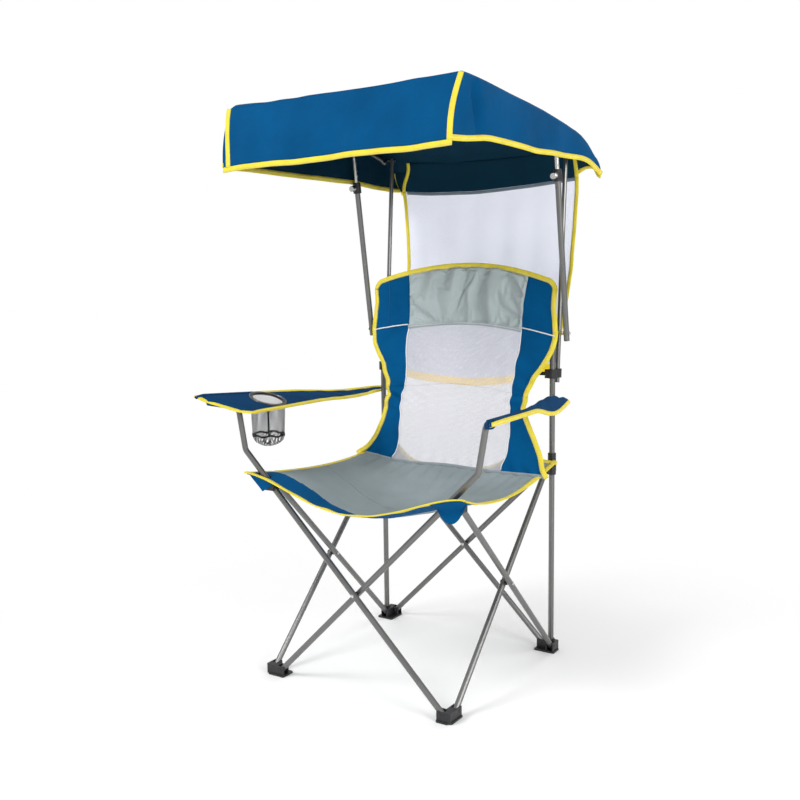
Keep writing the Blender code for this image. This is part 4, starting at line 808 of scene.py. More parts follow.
# %% Curtain
CURTAIN_TOP_HALF, CURTAIN_GAP, CURTAIN_TOP_BACK, CURTAIN_FOOT_HEIGHT = 0.279, 0.0018, 0.408, 0.785
CURTAIN_FOOT_SAG = ((0.0, -0.002), (0.13, -0.043), (0.33, -0.051), (0.53, -0.055), (0.73, -0.043),
                    (1.0, 0.004))
CURTAIN_TOP_Y = 0.375
CURTAIN_DEPTH = ((0.0, 0.295), (0.06, 0.12), (0.12, 0.02), (0.20, -0.04), (0.37, -0.05), (0.545, 0.0),
                 (0.70, 0.28), (0.80, 0.53), (0.90, 0.82), (1.0, 1.0))
CURTAIN_WIDTH = ((0.0, 0.965), (0.25, 0.945), (0.5, 0.945), (0.72, 0.975), (0.86, 0.995), (1.0, 1.0))
CURTAIN_LEFT_TURN = 0.13
CANOPY_POST_Y, COLLAR_AT = 0.2875, 0.760
BAND_EDGE = ((0.0, 1.270), (0.43, 1.266), (0.72, 1.273), (1.0, 1.280))
BAND_ROWS = 18


def curtain_point(s, t):
    """The curtain between its edges s and from its top down t."""
    half = CURTAIN_TOP_HALF * read_shares(CURTAIN_WIDTH, 1 - t, 0.015)
    half = half - CURTAIN_TOP_HALF * CURTAIN_LEFT_TURN * (1 - s) * ease(1 - t, 0.86, 1.0)
    x = (2 * s - 1) * half
    foot_y = CANOPY_POST_Y + 0.075 * (CURTAIN_FOOT_HEIGHT - COLLAR_AT) + 0.006 + CLOTH / 2 + 0.0006
    y = CURTAIN_TOP_BACK + (foot_y - CURTAIN_TOP_BACK) * read_shares(CURTAIN_DEPTH, t, 0.012)
    top_z = roof_height(x, CURTAIN_TOP_Y) - CURTAIN_GAP
    foot_z = CURTAIN_FOOT_HEIGHT + read_shares(CURTAIN_FOOT_SAG, s)
    return np.stack([x, y, top_z + (foot_z - top_z) * t], -1)


s = np.linspace(0, 1, 90)[:, None]
top_z = roof_height((2 * s - 1) * CURTAIN_TOP_HALF, CURTAIN_TOP_Y) - CURTAIN_GAP
band = (top_z - read_shares(BAND_EDGE, s)) / (top_z - CURTAIN_FOOT_HEIGHT)
t = np.concatenate([band * np.linspace(0, 1, BAND_ROWS, endpoint=False),
                    band + (1 - band) * np.linspace(0, 1, 112)], 1)
s = np.broadcast_to(s, t.shape)
curtain_grid = curtain_point(s, t)
inside = np.sin(np.pi * s) * np.sin(np.pi * t)
curtain_grid[..., 1] += (0.005 * inside * lattice(s * 0.5, t * 0.25, 10, 21)
                         + 0.0026 * inside * np.sin(s * 34 + 2 * t))
curtain_normal = grid_normals(curtain_grid)
band_grid, mesh_grid = curtain_grid[:, :BAND_ROWS + 1], curtain_grid[:, BAND_ROWS:]
# painted shade: the band's dark blue stands for the shaded underside of the roof's rear
curtain_band = sheet_piece("rear_curtain_band", band_grid, 0.0006, [INNER_SHADE_BLUE])
curtain = sheet_piece("rear_curtain_mesh", mesh_grid, 0.0006, [CURTAIN_MESH])
band_tapes, curtain_tapes = [], []
for word, index in (("left", 0), ("right", -1)):
    for store, part_word, span in ((band_tapes, "band", slice(0, BAND_ROWS + 1)),
                                   (curtain_tapes, "mesh", slice(BAND_ROWS, None))):
        store.append(sweep(f"curtain_{part_word}_tape_{word}", curtain_grid[index, span],
                           curtain_normal[index, span], fold_outline(0.0095, 0.001), YELLOW))
curtain_tapes.append(sweep("curtain_foot_tape", curtain_grid[:, -1], curtain_normal[:, -1],
                           fold_outline(0.0200, 0.001), HEM_YELLOW))
curtain_tapes.append(sweep("curtain_band_seam", curtain_grid[1:-1, BAND_ROWS + 1],
                           curtain_normal[1:-1, BAND_ROWS + 1], flat_outline(0.0088, 0.0010), SEAM_TAPE))

# %% [markdown]
# ## Seat
#
# The seat hangs from its four corners: its front edge is a deep curve, and its rear edge
# meets the back. A blue band runs along the front, and the rest is grey. It is two pieces, since
# its front goes with the front corners and its rear with the sliders as the frame folds.

# %% Seat shape
HALF_FOOT = 0.270
SEAT_FRONT, SEAT_REAR, SEAT_CORNER_HALF, SEAT_MID_HALF, SEAT_REAR_HALF = -0.303, 0.163, 0.318, 0.283, 0.290
SEAT_FRONT_HEIGHT, SEAT_REAR_HEIGHT, SEAT_SIDE_SAG, SEAT_FRONT_SAG = 0.536, 0.514, 0.015, 0.072
SEAT_POCKET_SAG, SEAT_REAR_SAG, SEAT_CORNER_LIFT, SEAT_POWER = 0.025, 0.012, 0.010, 1.9
SEAT_CORNER_REAR = POST_Y - POST_RADIUS - 0.0041
SEAT_EAR = 0.034
SEAT_RIGHT_SAG = 0.029


def seat_point(s, t):
    """The hung seat: s runs from left to right and t from its front back."""
    q = np.abs(2 * s - 1)
    bow = (SEAT_CORNER_HALF + SEAT_REAR_HALF) / 2 - SEAT_MID_HALF
    half = SEAT_CORNER_HALF + (SEAT_REAR_HALF - SEAT_CORNER_HALF) * t - 4 * t * (1 - t) * bow
    end = SEAT_REAR + (SEAT_CORNER_REAR - SEAT_REAR) * q ** 1.7
    side_sag = SEAT_SIDE_SAG + SEAT_RIGHT_SAG * ease(s, 0.62, 1.0)
    side = SEAT_FRONT_HEIGHT + (SEAT_REAR_HEIGHT - SEAT_FRONT_HEIGHT) * t - 4 * t * (1 - t) * side_sag
    side = side + SEAT_CORNER_LIFT * q ** 3 * t ** 4
    sag = SEAT_FRONT_SAG * (1 - t * t) + 4 * t * (1 - t) * SEAT_POCKET_SAG + SEAT_REAR_SAG * t * t
    y = SEAT_FRONT + (end - SEAT_FRONT) * t
    ear = SEAT_EAR * hump(q, 0.68, 0.20) * ease(y, SEAT_REAR, 0.205)
    z = side - sag * np.clip(1 - q * q, 0, 1) ** SEAT_POWER + ear
    return np.stack([(2 * s - 1) * half, y, z], -1)


def seat_height(x, y):
    """Height of the seat's cloth over a point, found by stepping towards it."""
    s = np.full(np.shape(x), 0.5)
    t = np.full(np.shape(x), 0.5)
    for _ in range(14):
        here = seat_point(s, t)
        half = seat_point(np.ones_like(s), t)[..., 0]
        end = seat_point(s, np.ones_like(t))[..., 1]
        s = np.clip(s + (x - here[..., 0]) / (2 * half), 0, 1)
        t = np.clip(t + (y - here[..., 1]) / (end - SEAT_FRONT), 0, 1)
    return seat_point(s, t)[..., 2]


s, t = np.meshgrid(np.linspace(0, 1, 181), np.linspace(0, 1, 141), indexing="ij")
seat_grid = seat_point(s, t)
q = np.abs(2 * s - 1)
edge = np.clip(4 * s * (1 - s), 0, 1) ** 0.5 * np.clip(4 * t * (1 - t), 0, 1) ** 0.5
band_at = 0.165 + 0.05 * (1 - q * q)
spread_out = lattice(seat_grid[..., 0], seat_grid[..., 1], 9, 31) * 0.0048
spread_out = spread_out + lattice(seat_grid[..., 0] * 1.4, seat_grid[..., 1] * 0.7, 22, 32) * 0.0024
behind = seat_grid[..., 1] - SEAT_REAR
pucker = 0.0062 * np.sin(88 * (s - 0.5) + 3 * lattice(s * 0.5, t * 0.2, 12, 33)) * hump(behind, 0.0, 0.070)
pucker = pucker * (1 - hump(behind, 0.0, 0.010))
front_fold = 0.0030 * np.sin(46 * (s - 0.5) + 9 * t) * hump(t, 0.05, 0.10) * (1 - q ** 6)
seam = -0.0014 * hump(t, band_at, 0.010)
seat_grid[..., 2] += (spread_out + pucker) * edge + front_fold * edge + seam
is_blue = ((t + np.roll(t, -1, 1))[:-1, :-1] / 2 < band_at[:-1, :-1]).astype(int)
SLOT_HALF_LONG, SLOT_HALF_WIDE, SLOT_MIDDLE = 0.0165, 0.0115, 0.272
TUBE_PLANE = 0.009  # the front tubes pass each other this far before and behind the feet's middle
SLOT_SPOTS = (("left", -1, -HALF_FOOT - TUBE_PLANE), ("right", 1, -HALF_FOOT + TUBE_PLANE))
keep = np.ones(is_blue.shape, bool)
middle_of = (seat_grid[:-1, :-1] + seat_grid[1:, 1:]) / 2
for word, side, plane in SLOT_SPOTS:
    along = (middle_of[..., 0] * side - SLOT_MIDDLE) / SLOT_HALF_LONG
    off = (middle_of[..., 1] - plane) / SLOT_HALF_WIDE
    keep &= along ** 2 + off ** 2 > 1
seat_split = 70
print("seat cells cut away", int((~keep).sum()))
seat_pieces = []
seat_uvs = lengths(seat_grid)
for word, cut in (("front", slice(0, seat_split + 1)), ("rear", slice(seat_split, None))):
    cell = slice(0, seat_split) if word == "front" else slice(seat_split, None)
    seat_pieces.append(sheet_piece("seat_" + word, seat_grid[:, cut], CLOTH, [GREY, BLUE],
                                   is_blue[:, cell], is_blue[:, cell], keep[:, cell], seat_uvs[:, cut]))
seat_normal = grid_normals(seat_grid)

# %% Seat binding and slots
seat_tapes = []
left_end, right_end = slice(0, 66), slice(115, None)
to_split, from_split = slice(0, seat_split + 1), slice(seat_split, None)
for word, rows, columns in (("left_front", 0, to_split), ("left_rear", 0, from_split),
                            ("right_front", -1, to_split), ("right_rear", -1, from_split),
                            ("front_edge", slice(None), 0), ("rear_edge_left", left_end, -1),
                            ("rear_edge_right", right_end, -1)):
    way = -1 if word.startswith(("left", "rear")) else 1
    seat_tapes.append(sweep("seat_tape_" + word, seat_grid[rows, columns], seat_normal[rows, columns] * way,
                            fold_outline(BINDING, CLOTH), YELLOW))
turns = np.linspace(0, 2 * np.pi, 49)[:-1]
for word, side, plane in SLOT_SPOTS:
    x = side * (SLOT_MIDDLE + 0.0178 * np.cos(turns))
    y = plane + 0.0128 * np.sin(turns)
    path = np.stack([x, y, seat_height(x, y)], -1)
    seat_tapes.append(sweep("seat_slot_lining_" + word, path, np.broadcast_to([0.0, 0.0, 1.0], path.shape),
                            flat_outline(0.0052, 0.0042), BLACK_TAPE, closed=True))

# %% [markdown]
# ## Back
#
# The back is sewn from three strips: blue sides and a white mesh middle with a grey,
# gathered headrest at its top. The columns of the grid follow the two seams, so that the
# colours meet exactly there, and rows follow the headrest's hem. It is split at its waist,
# because its lower half rises with the sliders as the frame folds.

# %% Back shape
BACK_TOP_HEIGHT, BACK_CROWN, BACK_BOW, BACK_TOP_HALF, BACK_CORNER = 1.004, 0.050, 0.034, 0.292, 0.023
BACK_WIDTH = ((0.0, 1.03), (0.02, 0.97), (0.05, 0.928), (0.09, 0.897), (0.14, 0.854), (0.24, 0.79),
              (0.34, 0.745), (0.42, 0.76), (0.50, 0.83), (0.58, 0.93), (0.65, 0.985), (0.72, 1.0),
              (0.86, 0.975), (0.94, 0.975), (1.0, 0.98))
BACK_LEAN = ((0.0, 0.0), (0.37, 0.52), (0.72, 0.90), (1.0, 1.0))
LEFT_FLARE = ((0.0, 0.02), (0.03, -0.01), (0.10, -0.03), (0.20, -0.03), (0.33, 0.0))
RIGHT_FLARE = ((0.0, 0.030), (0.05, 0.065), (0.11, 0.082), (0.20, 0.060), (0.30, 0.015), (0.36, 0.0))
LEFT_SEAM = ((0.0, 0.615), (0.097, 0.640), (0.187, 0.715), (0.33, 0.786), (0.478, 0.706), (0.60, 0.640),
             (0.72, 0.592), (1.0, 0.624))
RIGHT_SEAM = ((0.0, 0.535), (0.04, 0.60), (0.11, 0.670), (0.21, 0.730), (0.297, 0.786), (0.413, 0.772),
              (0.563, 0.664), (0.72, 0.614), (1.0, 0.706))
HEM_SHARE = 0.70


def back_point(s, t):
    """The hung back: s runs from left to right and t from the seat up."""
    q = np.abs(2 * s - 1)
    way = 2 * s - 1
    flare = np.where(way < 0, -way * read_shares(LEFT_FLARE, t, 0.02),
                     way * read_shares(RIGHT_FLARE, t, 0.02))
    x = way * BACK_TOP_HALF * (read_shares(BACK_WIDTH, t, 0.018) + flare)
    foot_z = seat_height(x, np.full(np.shape(x), SEAT_REAR)) + CLOTH + 0.001
    top_z = BACK_TOP_HEIGHT + BACK_CROWN * (1 - q * q)
    top_y = POST_Y - POST_RADIUS - 0.0006 - CLOTH
    y = SEAT_REAR + (top_y - SEAT_REAR) * read_shares(BACK_LEAN, t)
    y = y + BACK_BOW * (1 - q * q) ** 2 * t * (2 - t)
    within = np.clip(np.abs(x) - (BACK_TOP_HALF * 0.98 - BACK_CORNER), 0, BACK_CORNER)
    rounded = BACK_CORNER - np.sqrt(np.maximum(BACK_CORNER ** 2 - within ** 2, 0))
    return np.stack([x, y, foot_z + (top_z - foot_z) * t - rounded * ease(t, 0.86, 1.0)], -1)


SIDE_COLUMNS, MIDDLE_COLUMNS, HEM_ROWS, HEAD_ROWS = 40, 108, 110, 50
t_line = np.concatenate([np.linspace(0, HEM_SHARE, HEM_ROWS, endpoint=False),
                         np.linspace(HEM_SHARE, 1, HEAD_ROWS)])
left_s = (1 - read_shares(LEFT_SEAM, t_line)) / 2
right_s = (1 + read_shares(RIGHT_SEAM, t_line)) / 2
columns = [left_s * k for k in np.linspace(0, 1, SIDE_COLUMNS, endpoint=False)]
columns += [left_s + (right_s - left_s) * k / MIDDLE_COLUMNS for k in range(MIDDLE_COLUMNS)]
columns += [right_s + (1 - right_s) * k / SIDE_COLUMNS for k in range(SIDE_COLUMNS + 1)]
s = np.array(columns)
t = np.broadcast_to(t_line, s.shape)
back_flat = back_point(s, t)
count = s.shape[0]
mid = np.clip((np.arange(count) - SIDE_COLUMNS) / MIDDLE_COLUMNS, 0, 1)[:, None]
is_side = ((np.arange(count) < SIDE_COLUMNS) | (np.arange(count) >= SIDE_COLUMNS + MIDDLE_COLUMNS))[:-1]
in_middle = np.sin(np.pi * mid) ** 0.5
number = np.arange(count)[:, None]
seam_near = hump(number, SIDE_COLUMNS, 1.5) + hump(number, SIDE_COLUMNS + MIDDLE_COLUMNS, 1.5)
x, y, z = back_flat[..., 0], back_flat[..., 1], back_flat[..., 2]
side_fold = 0.0060 * lattice(x, z * 0.7, 16, 41) + 0.0040 * lattice(x + 0.6 * z, z - 0.4 * x, 32, 42)
side_fold = side_fold + 0.0040 * hump(t, 0.36, 0.06) * np.sin(160 * (z - 0.5 * np.abs(x)))
mesh_fold = 0.0030 * lattice(x, z * 0.6, 8, 43) + 0.0014 * lattice(x - 0.5 * z, z * 0.5, 24, 44)
foot_pucker = 0.0022 * np.sin(88 * (s - 0.5) + 1.3) * hump(t, 0.0, 0.05)
toward = grid_normals(back_flat)
toward = toward * np.sign(-toward[..., 1:2])
lift = side_fold * (1 - in_middle) * np.sin(np.pi * t) ** 0.7 - 0.0016 * seam_near
lift = lift + mesh_fold * in_middle * (1 - ease(t, 0.66, HEM_SHARE)) * np.sin(np.pi * t) ** 0.7 + foot_pucker
back_grid = back_flat + toward * lift[..., None]
is_head = (~is_side)[:, None] & (t_line[None, :-1] >= HEM_SHARE - 1e-6)
back_slots = np.broadcast_to(np.where(is_side[:, None], 0, 1), is_head.shape)
back_uvs = lengths(back_grid)
BACK_SPLIT = 62
lower_rows, upper_rows = slice(0, BACK_SPLIT + 1), slice(BACK_SPLIT, None)
backs = []
for word, rows, cell in (("lower", lower_rows, slice(0, BACK_SPLIT)), ("upper", upper_rows, upper_rows)):
    colours = back_slots[::-1, cell]
    backs.append(sheet_piece("back_rest_" + word, back_grid[::-1, rows], SKIN, [BLUE, WHITE_MESH],
                             colours, colours, ~is_head[::-1, cell], back_uvs[::-1, rows]))
back_lower, back_upper = backs
print("back points", back_grid.shape)

# %% [markdown]
# The headrest has more cloth than the frame it is sewn into, so it gathers. It starts as a
# thin closed form with shallow folds, fixed along its seams, and a cloth simulation with a
# little pressure and spare cloth lets it buckle. Each point may move 13 mm at most.

# %% Headrest by simulation


def settle(obj, held, pressure, spare, reach, frames=20):
    """Runs a cloth simulation on a closed form and writes its end into the mesh.

    held are the points that stay, spare is the share of extra cloth and reach how far a point may move.
    """
    first = np.zeros(len(obj.data.vertices) * 3)
    obj.data.vertices.foreach_get("co", first)
    group = obj.vertex_groups.new(name="held")
    group.add([int(n) for n in held], 1.0, "REPLACE")
    cloth = obj.modifiers.new("cloth", "CLOTH")
    cloth.settings.vertex_group_mass = "held"
    cloth.settings.quality = 6
    cloth.settings.mass = 0.15
    cloth.settings.tension_stiffness = 20
    cloth.settings.compression_stiffness = 20
    cloth.settings.bending_stiffness = 0.35
    cloth.settings.use_pressure = True
    cloth.settings.uniform_pressure_force = pressure
    cloth.settings.shrink_min = -spare
    cloth.settings.effector_weights.gravity = 0
    scene = bpy.context.scene
    scene.frame_start, scene.frame_end = 1, frames
    cloth.point_cache.frame_start, cloth.point_cache.frame_end = 1, frames
    for frame_number in range(1, frames + 1):
        scene.frame_set(frame_number)
    seen_mesh = obj.evaluated_get(bpy.context.evaluated_depsgraph_get()).data
    last = np.zeros_like(first)
    seen_mesh.vertices.foreach_get("co", last)
    obj.modifiers.remove(cloth)
    obj.vertex_groups.remove(group)
    scene.frame_set(1)
    moved = (last - first).reshape(-1, 3)
    far = np.linalg.norm(moved, axis=1, keepdims=True)
    moved *= np.minimum(far, reach) / np.maximum(far, 1e-9)
    obj.data.vertices.foreach_set("co", first + moved.ravel())
    obj.data.update()
    print(obj.name, "moved at most", round(float(far.max()), 4), "m, on average", round(float(far.mean()), 4))


head_columns = slice(SIDE_COLUMNS, SIDE_COLUMNS + MIDDLE_COLUMNS + 1)
head = back_grid[head_columns, HEM_ROWS:]
head_toward = toward[head_columns, HEM_ROWS:]
u, v = np.meshgrid(np.linspace(0, 1, head.shape[0]), np.linspace(0, 1, head.shape[1]), indexing="ij")
inside = np.clip(16 * u * (1 - u) * v * (1 - v), 0, 1) ** 0.6 * (1 - ease(v, 0.84, 0.93))
folds = np.cos(2 * np.pi * (5.5 * u + 0.10 * np.sin(5 * v) + 0.12 * lattice(u, v, 3, 45)))
folds = folds * (0.55 + 0.45 * lattice(u, v * 0.3, 7, 46))
head = head + head_toward * (0.0038 * folds * inside + 0.0036 * inside)[..., None]
headrest = sheet_piece("headrest", head[::-1], 0.0030, [PALE_GREY])
rim = (u[::-1] < 0.001) | (u[::-1] > 0.999) | (v < 0.001) | (v > 0.93)
held = np.flatnonzero(np.concatenate([rim.ravel(), rim.ravel()]))
settle(headrest, held, 2.0, 0.13, 0.013)

# %% Back binding and seams
upper_rim = [(0, upper_rows), (slice(1, -1), -1), (-1, slice(None, BACK_SPLIT - 1, -1))]
back_turn = -grid_normals(back_grid)
back_trims, lower_trims = [], []
for name, parts, store in (("back_binding", upper_rim, back_trims),
                           ("back_binding_lower_left", [(0, lower_rows)], lower_trims),
                           ("back_binding_lower_right", [(-1, slice(BACK_SPLIT, None, -1))], lower_trims)):
    path = np.concatenate([back_grid[i, j] for i, j in parts])
    turn = np.concatenate([back_turn[i, j] for i, j in parts])
    store.append(sweep(name, path, turn, fold_outline(0.0120, 0.0034), YELLOW))
for word, column in (("left", SIDE_COLUMNS), ("right", SIDE_COLUMNS + MIDDLE_COLUMNS)):
    for end, line, store in (("lower", slice(2, BACK_SPLIT + 1), lower_trims),
                             ("upper", slice(BACK_SPLIT, HEM_ROWS + 3), back_trims)):
        store.append(sweep(f"back_piping_{end}_{word}", back_grid[column, line], toward[column, line],
                           round_outline(0.0014, 8, 0.0020), PIPING))
row = HEM_ROWS + 2
for word, span in (("left", slice(2, SIDE_COLUMNS)), ("right", slice(SIDE_COLUMNS + MIDDLE_COLUMNS + 1, -2))):
    back_trims.append(sweep("back_side_piping_" + word, back_grid[span, row], toward[span, row],
                            round_outline(0.0017, 8, 0.0020), PIPING))
back_trims.append(sweep("headrest_hem", back_grid[head_columns, HEM_ROWS], toward[head_columns, HEM_ROWS],
                        flat_outline(0.0100, 0.0046, 0.0022), HEM_TAPE))
span = slice(3, -3)
lower_trims.append(sweep("back_foot_seam", back_grid[span, 0], toward[span, 0],
                         flat_outline(0.0100, 0.0032, 0.0004), GREY_TAPE))
column, span = 17, slice(HEM_ROWS + 5, -4)
back_trims.append(sweep("back_side_stitching", back_grid[column, span], toward[column, span],
                        flat_outline(0.0030, 0.0006, 0.0009), BLUE_SEAM))

# %% [markdown]
# ## Corner pockets
#
# At each front corner a fold of the blue band hangs over the bracket.

# %% Pockets
POCKET_DEPTH, POCKET_HALF = 0.046, 0.040
LEFT_POCKET_DEPTH = 0.034
pockets, pocket_grids = {}, {}
for word, side in (("left", -1), ("right", 1)):
    u, v = np.meshgrid(np.linspace(0, 1, 40), np.linspace(0, 1, 26), indexing="ij")
    front_wall = -HALF_FOOT + side * TUBE_PLANE - 0.0110
    hem = SEAT_FRONT + CLOTH
    tuck = front_wall - 0.0003 - CLOTH / 2 - hem
    x = side * (HALF_FOOT + (2 * u - 1) * POCKET_HALF)
    y = hem + tuck * np.sin(np.pi / 2 * np.clip(v / 0.5, 0, 1))
    hang = POCKET_DEPTH * (1 - (2 * u - 1) ** 2) if side > 0 else LEFT_POCKET_DEPTH * (1 - np.abs(2 * u - 1))
    z = seat_height(x, y) - CLOTH * 2 - (CLOTH + hang) * v
    grid = np.stack([x, y - 0.0012 * np.sin(9 * u) * v, z], -1)
    grid = grid[::-1] if side > 0 else grid
    pocket_grids[word] = grid
    # painted shade: the pocket's inner skin is drawn dark blue
    pockets[word] = sheet_piece("pocket_" + word, grid, SKIN, [BLUE, INNER_SHADE_BLUE], 0, 1)

# %% [markdown]
# ## Armrests and cup holder
#
# The left armrest is a flat tongue held open by the cup holder's ring. The right one is a
# narrower sleeve, crowned over its tube, which twists outward at its rear.

# %% Armrests
ARM_INNER_HALF, ARM_INNER_HEIGHT, ARM_SLOPE, ARM_TIP_HALF = 0.286, 0.6888, 0.30, 0.431
ARM_FRONT, ARM_TIP_FRONT, ARM_REAR, ARM_REAR_WIDTH, ARM_SAG = -0.294, -0.354, 0.300, 0.026, 0.006
SLEEVE_INNER_HALF, SLEEVE_TIP_HALF, SLEEVE_FRONT = 0.362, 0.418, -0.350
ARM_INNER_REAR = HALF_FOOT + POST_RADIUS + 0.0006


def arm_surface(x):
    """Height of the armrest's middle at a distance from the chair's middle."""
    return ARM_INNER_HEIGHT + ARM_SLOPE * (np.abs(x) - ARM_INNER_HALF)


def arm_edges(inner, tip, t):
    """Distances of the inner and outer edge from the chair's middle."""
    rear = ARM_INNER_REAR + ARM_REAR_WIDTH
    return inner + (ARM_INNER_REAR - inner) * t, tip + (rear - tip) * t


def flat_arm(s, t):
    """The left armrest, whose front edge hangs over its tube."""
    inner, outer = arm_edges(ARM_INNER_HALF, ARM_TIP_HALF, t)
    front = ARM_FRONT + (ARM_TIP_FRONT - ARM_FRONT) * s
    x = inner + (outer - inner) * s
    sag = ARM_SAG * np.sin(np.pi * np.clip((t - 0.45) / 0.55, 0, 1)) ** 2
    droop = 0.0085 * (1 - ease(t, 0.0, 0.045)) * np.clip(s / 0.25, 0, 1) * (1 - 0.5 * ease(s, 0.8, 1.0))
    return np.stack([-x, front + (ARM_REAR - front) * t, arm_surface(x) - sag - droop], -1)


def sleeve_arm(s, t):
    """The right armrest."""
    inner, outer = arm_edges(SLEEVE_INNER_HALF, SLEEVE_TIP_HALF, t)
    inner = np.maximum(inner, 0.404 - 0.37 * t)
    outer = outer - 0.006 * (1 - ease(t, 0.0, 0.03))
    front = SLEEVE_FRONT + (ARM_TIP_FRONT - SLEEVE_FRONT) * s
    x = inner + (outer - inner) * s
    twist = np.clip(1 - ((t - 0.77) / 0.27) ** 2, 0, 1) ** 2
    hold = 0.86 + (0.5 - 0.86) * np.clip(t / 0.30, 0, 1)
    outward = np.clip((s - hold) / (1 - hold), 0, 1) ** 2
    z = arm_surface(x) + 0.015 * twist * 4 * s * (1 - s) - (0.0135 + 0.020 * twist) * outward
    return np.stack([x, front + (ARM_REAR - front) * t, z], -1)


ARM_THICK, ARM_TAPE = 0.0030, 0.0095
CUP_RADIUS = 0.044
cup = flat_arm(np.array(0.485), np.array(0.2345))
cup_axis = unit(np.array([ARM_SLOPE, 0, 1.0]))
s, t = np.meshgrid(np.linspace(0, 1, 64), np.linspace(0, 1, 240), indexing="ij")
arm_split, ring_passed = 92, 66
arm_grids, arm_fronts, arm_rears = {}, {}, {}
for word, shape in (("left", flat_arm), ("right", sleeve_arm)):
    grid = shape(s, t)
    ripple = lattice(grid[..., 0], grid[..., 1], 22, 51 if word == "left" else 52)
    grid[..., 2] += 0.0022 * ripple * np.sin(np.pi * s) * ease(t, 0.25, 0.5)
    grid[..., 2] += 0.0012 * np.sin(58 * t + 4 * s) * np.sin(np.pi * s) * ease(t, 0.40, 0.6)
    grid = grid[::-1] if word == "right" else grid
    normal = grid_normals(grid)
    keep = np.ones((grid.shape[0] - 1, grid.shape[1] - 1), bool)
    if word == "left":
        flat = (grid - cup) - ((grid - cup) @ cup_axis)[..., None] * cup_axis
        far = np.linalg.norm(flat, axis=2)
        push = unit(flat) * np.clip(CUP_RADIUS - 0.0006 - far, 0, None)[..., None]
        hole = far < CUP_RADIUS - 0.004
        grid = np.where((far < CUP_RADIUS - 0.0006)[..., None] & ~hole[..., None], grid + push, grid)
        keep = ~(hole[:-1, :-1] | hole[1:, 1:] | hole[1:, :-1] | hole[:-1, 1:])
    arm_grids[word] = grid
    arm_uvs = lengths(grid)
    outer = -1 if word == "left" else 0
    front_colour, inner_colour = (BLUE_DARK, YELLOW) if word == "left" else (YELLOW, BLUE_DARK)
    colours = {"near": front_colour, "far": YELLOW, "all": YELLOW, "inner": inner_colour}
    for end, cut, cell in (("front", slice(0, arm_split + 1), slice(0, arm_split)),
                           ("rear", slice(arm_split, None), slice(arm_split, None))):
        cloth_piece = sheet_piece(f"armrest_{word}_{end}", grid[:, cut], ARM_THICK, [BLUE_DARK],
                                  keep=keep[:, cell], uvs=arm_uvs[:, cut])
        store = arm_fronts if end == "front" else arm_rears
        store[word] = [cloth_piece]
        runs = [(outer, slice(0, ring_passed + 1), "near"), (outer, slice(ring_passed, arm_split + 1), "far")]
        if end == "rear":
            runs = [(outer, slice(arm_split, None), "all")]
        runs.append((-1 - outer, cut, "inner"))
        for row, run, place_word in runs:
            turn = normal[row, run] * (-1 if row == 0 else 1)
            store[word].append(sweep(f"armrest_tape_{word}_{end}_{place_word}", grid[row, run], turn,
                                     fold_outline(ARM_TAPE, ARM_THICK), colours[place_word]))
    arm_fronts[word].append(sweep(f"armrest_tape_{word}_tip", grid[:, 0], normal[:, 0],
                                  fold_outline(ARM_TAPE, ARM_THICK), YELLOW if word == "left" else BLUE_DARK))

# %% [markdown]
# The tube that carries each armrest ends in a sock of the same blue cloth, closed at its tip.
# It is a tube of rings whose radius falls to nothing over a quarter circle.

# %% Armrest socks
SOCK_LENGTH, SOCK_RADIUS, TIP_FORWARD = 0.056, 0.0086, 0.062
BEND_X = 0.332  # how far the front tube's upper bend lies from the chair's middle
grade = math.hypot(1.0, ARM_SLOPE)
under = (POST_RADIUS + ARM_THICK / 2 + 0.0003) * grade
for word, side, plane in SLOT_SPOTS:
    top = np.array([side * (BEND_X + 0.020), plane, arm_surface(BEND_X + 0.020) - under])
    tip = np.array([side * (BEND_X + 0.070), -HALF_FOOT - TIP_FORWARD, arm_surface(BEND_X + 0.070) - under])
    along = unit(tip - top)
    level_way = unit(np.cross(along, [0, 0, 1.0]))
    rising = np.cross(level_way, along)
    turns = np.linspace(0, 2 * np.pi, 33)[:, None]
    run = np.concatenate([np.linspace(-SOCK_LENGTH, 0, 26), np.linspace(0, np.pi / 2, 12)[1:]])[None, :]
    bent = np.clip(run, 0, None)
    radius = SOCK_RADIUS * np.where(run > 0, np.cos(bent) + 0.03, 1.0)
    radius = radius * (1 + 0.04 * np.sin(3 * turns + 40 * run))
    reach = np.where(run > 0, 0.0045 * np.sin(bent) + 0.0015, run + 0.0015)
    centre = tip + reach[..., None] * along
    round_way = np.cos(turns)[..., None] * level_way + np.sin(turns)[..., None] * rising
    sock = sheet_piece("armrest_sock_" + word, centre + radius[..., None] * round_way, SKIN, [BLUE_DARK])
    arm_fronts[word].append(join_seams(sock))

# %% Cup holder
MESH_RADIUS, MESH_DEPTH, RING_SHARE = CUP_RADIUS + 0.0013, 0.122, 0.68
turns = np.linspace(0, 2 * np.pi, 97)
downs = np.linspace(0, 1, 60)
around, down = np.meshgrid(turns, downs, indexing="ij")
bag = np.clip((down - RING_SHARE) / (1 - RING_SHARE), 0, 1) * np.pi / 2
straight = np.clip(down / RING_SHARE, 0, 1)
radius = MESH_RADIUS * (1 - 0.07 * straight) * np.where(down > RING_SHARE, np.cos(bag) * 0.985 + 0.015, 1.0)
radius = radius * (1 + 0.018 * np.sin(4 * around + 1) * ease(down, 0.15, 0.6))
x = cup[0] + radius * np.cos(around)
y = cup[1] + radius * np.sin(around)
top_z = cup[2] - 0.0036 - ARM_SLOPE * (x - cup[0])
low_z = cup[2] - MESH_DEPTH
ring_z = low_z + 0.030 + 0.0022 * np.sin(7 * around + 0.6)
z = np.where(down > RING_SHARE, blend_between(ring_z, low_z, np.sin(bag)),
             blend_between(top_z, ring_z, straight))
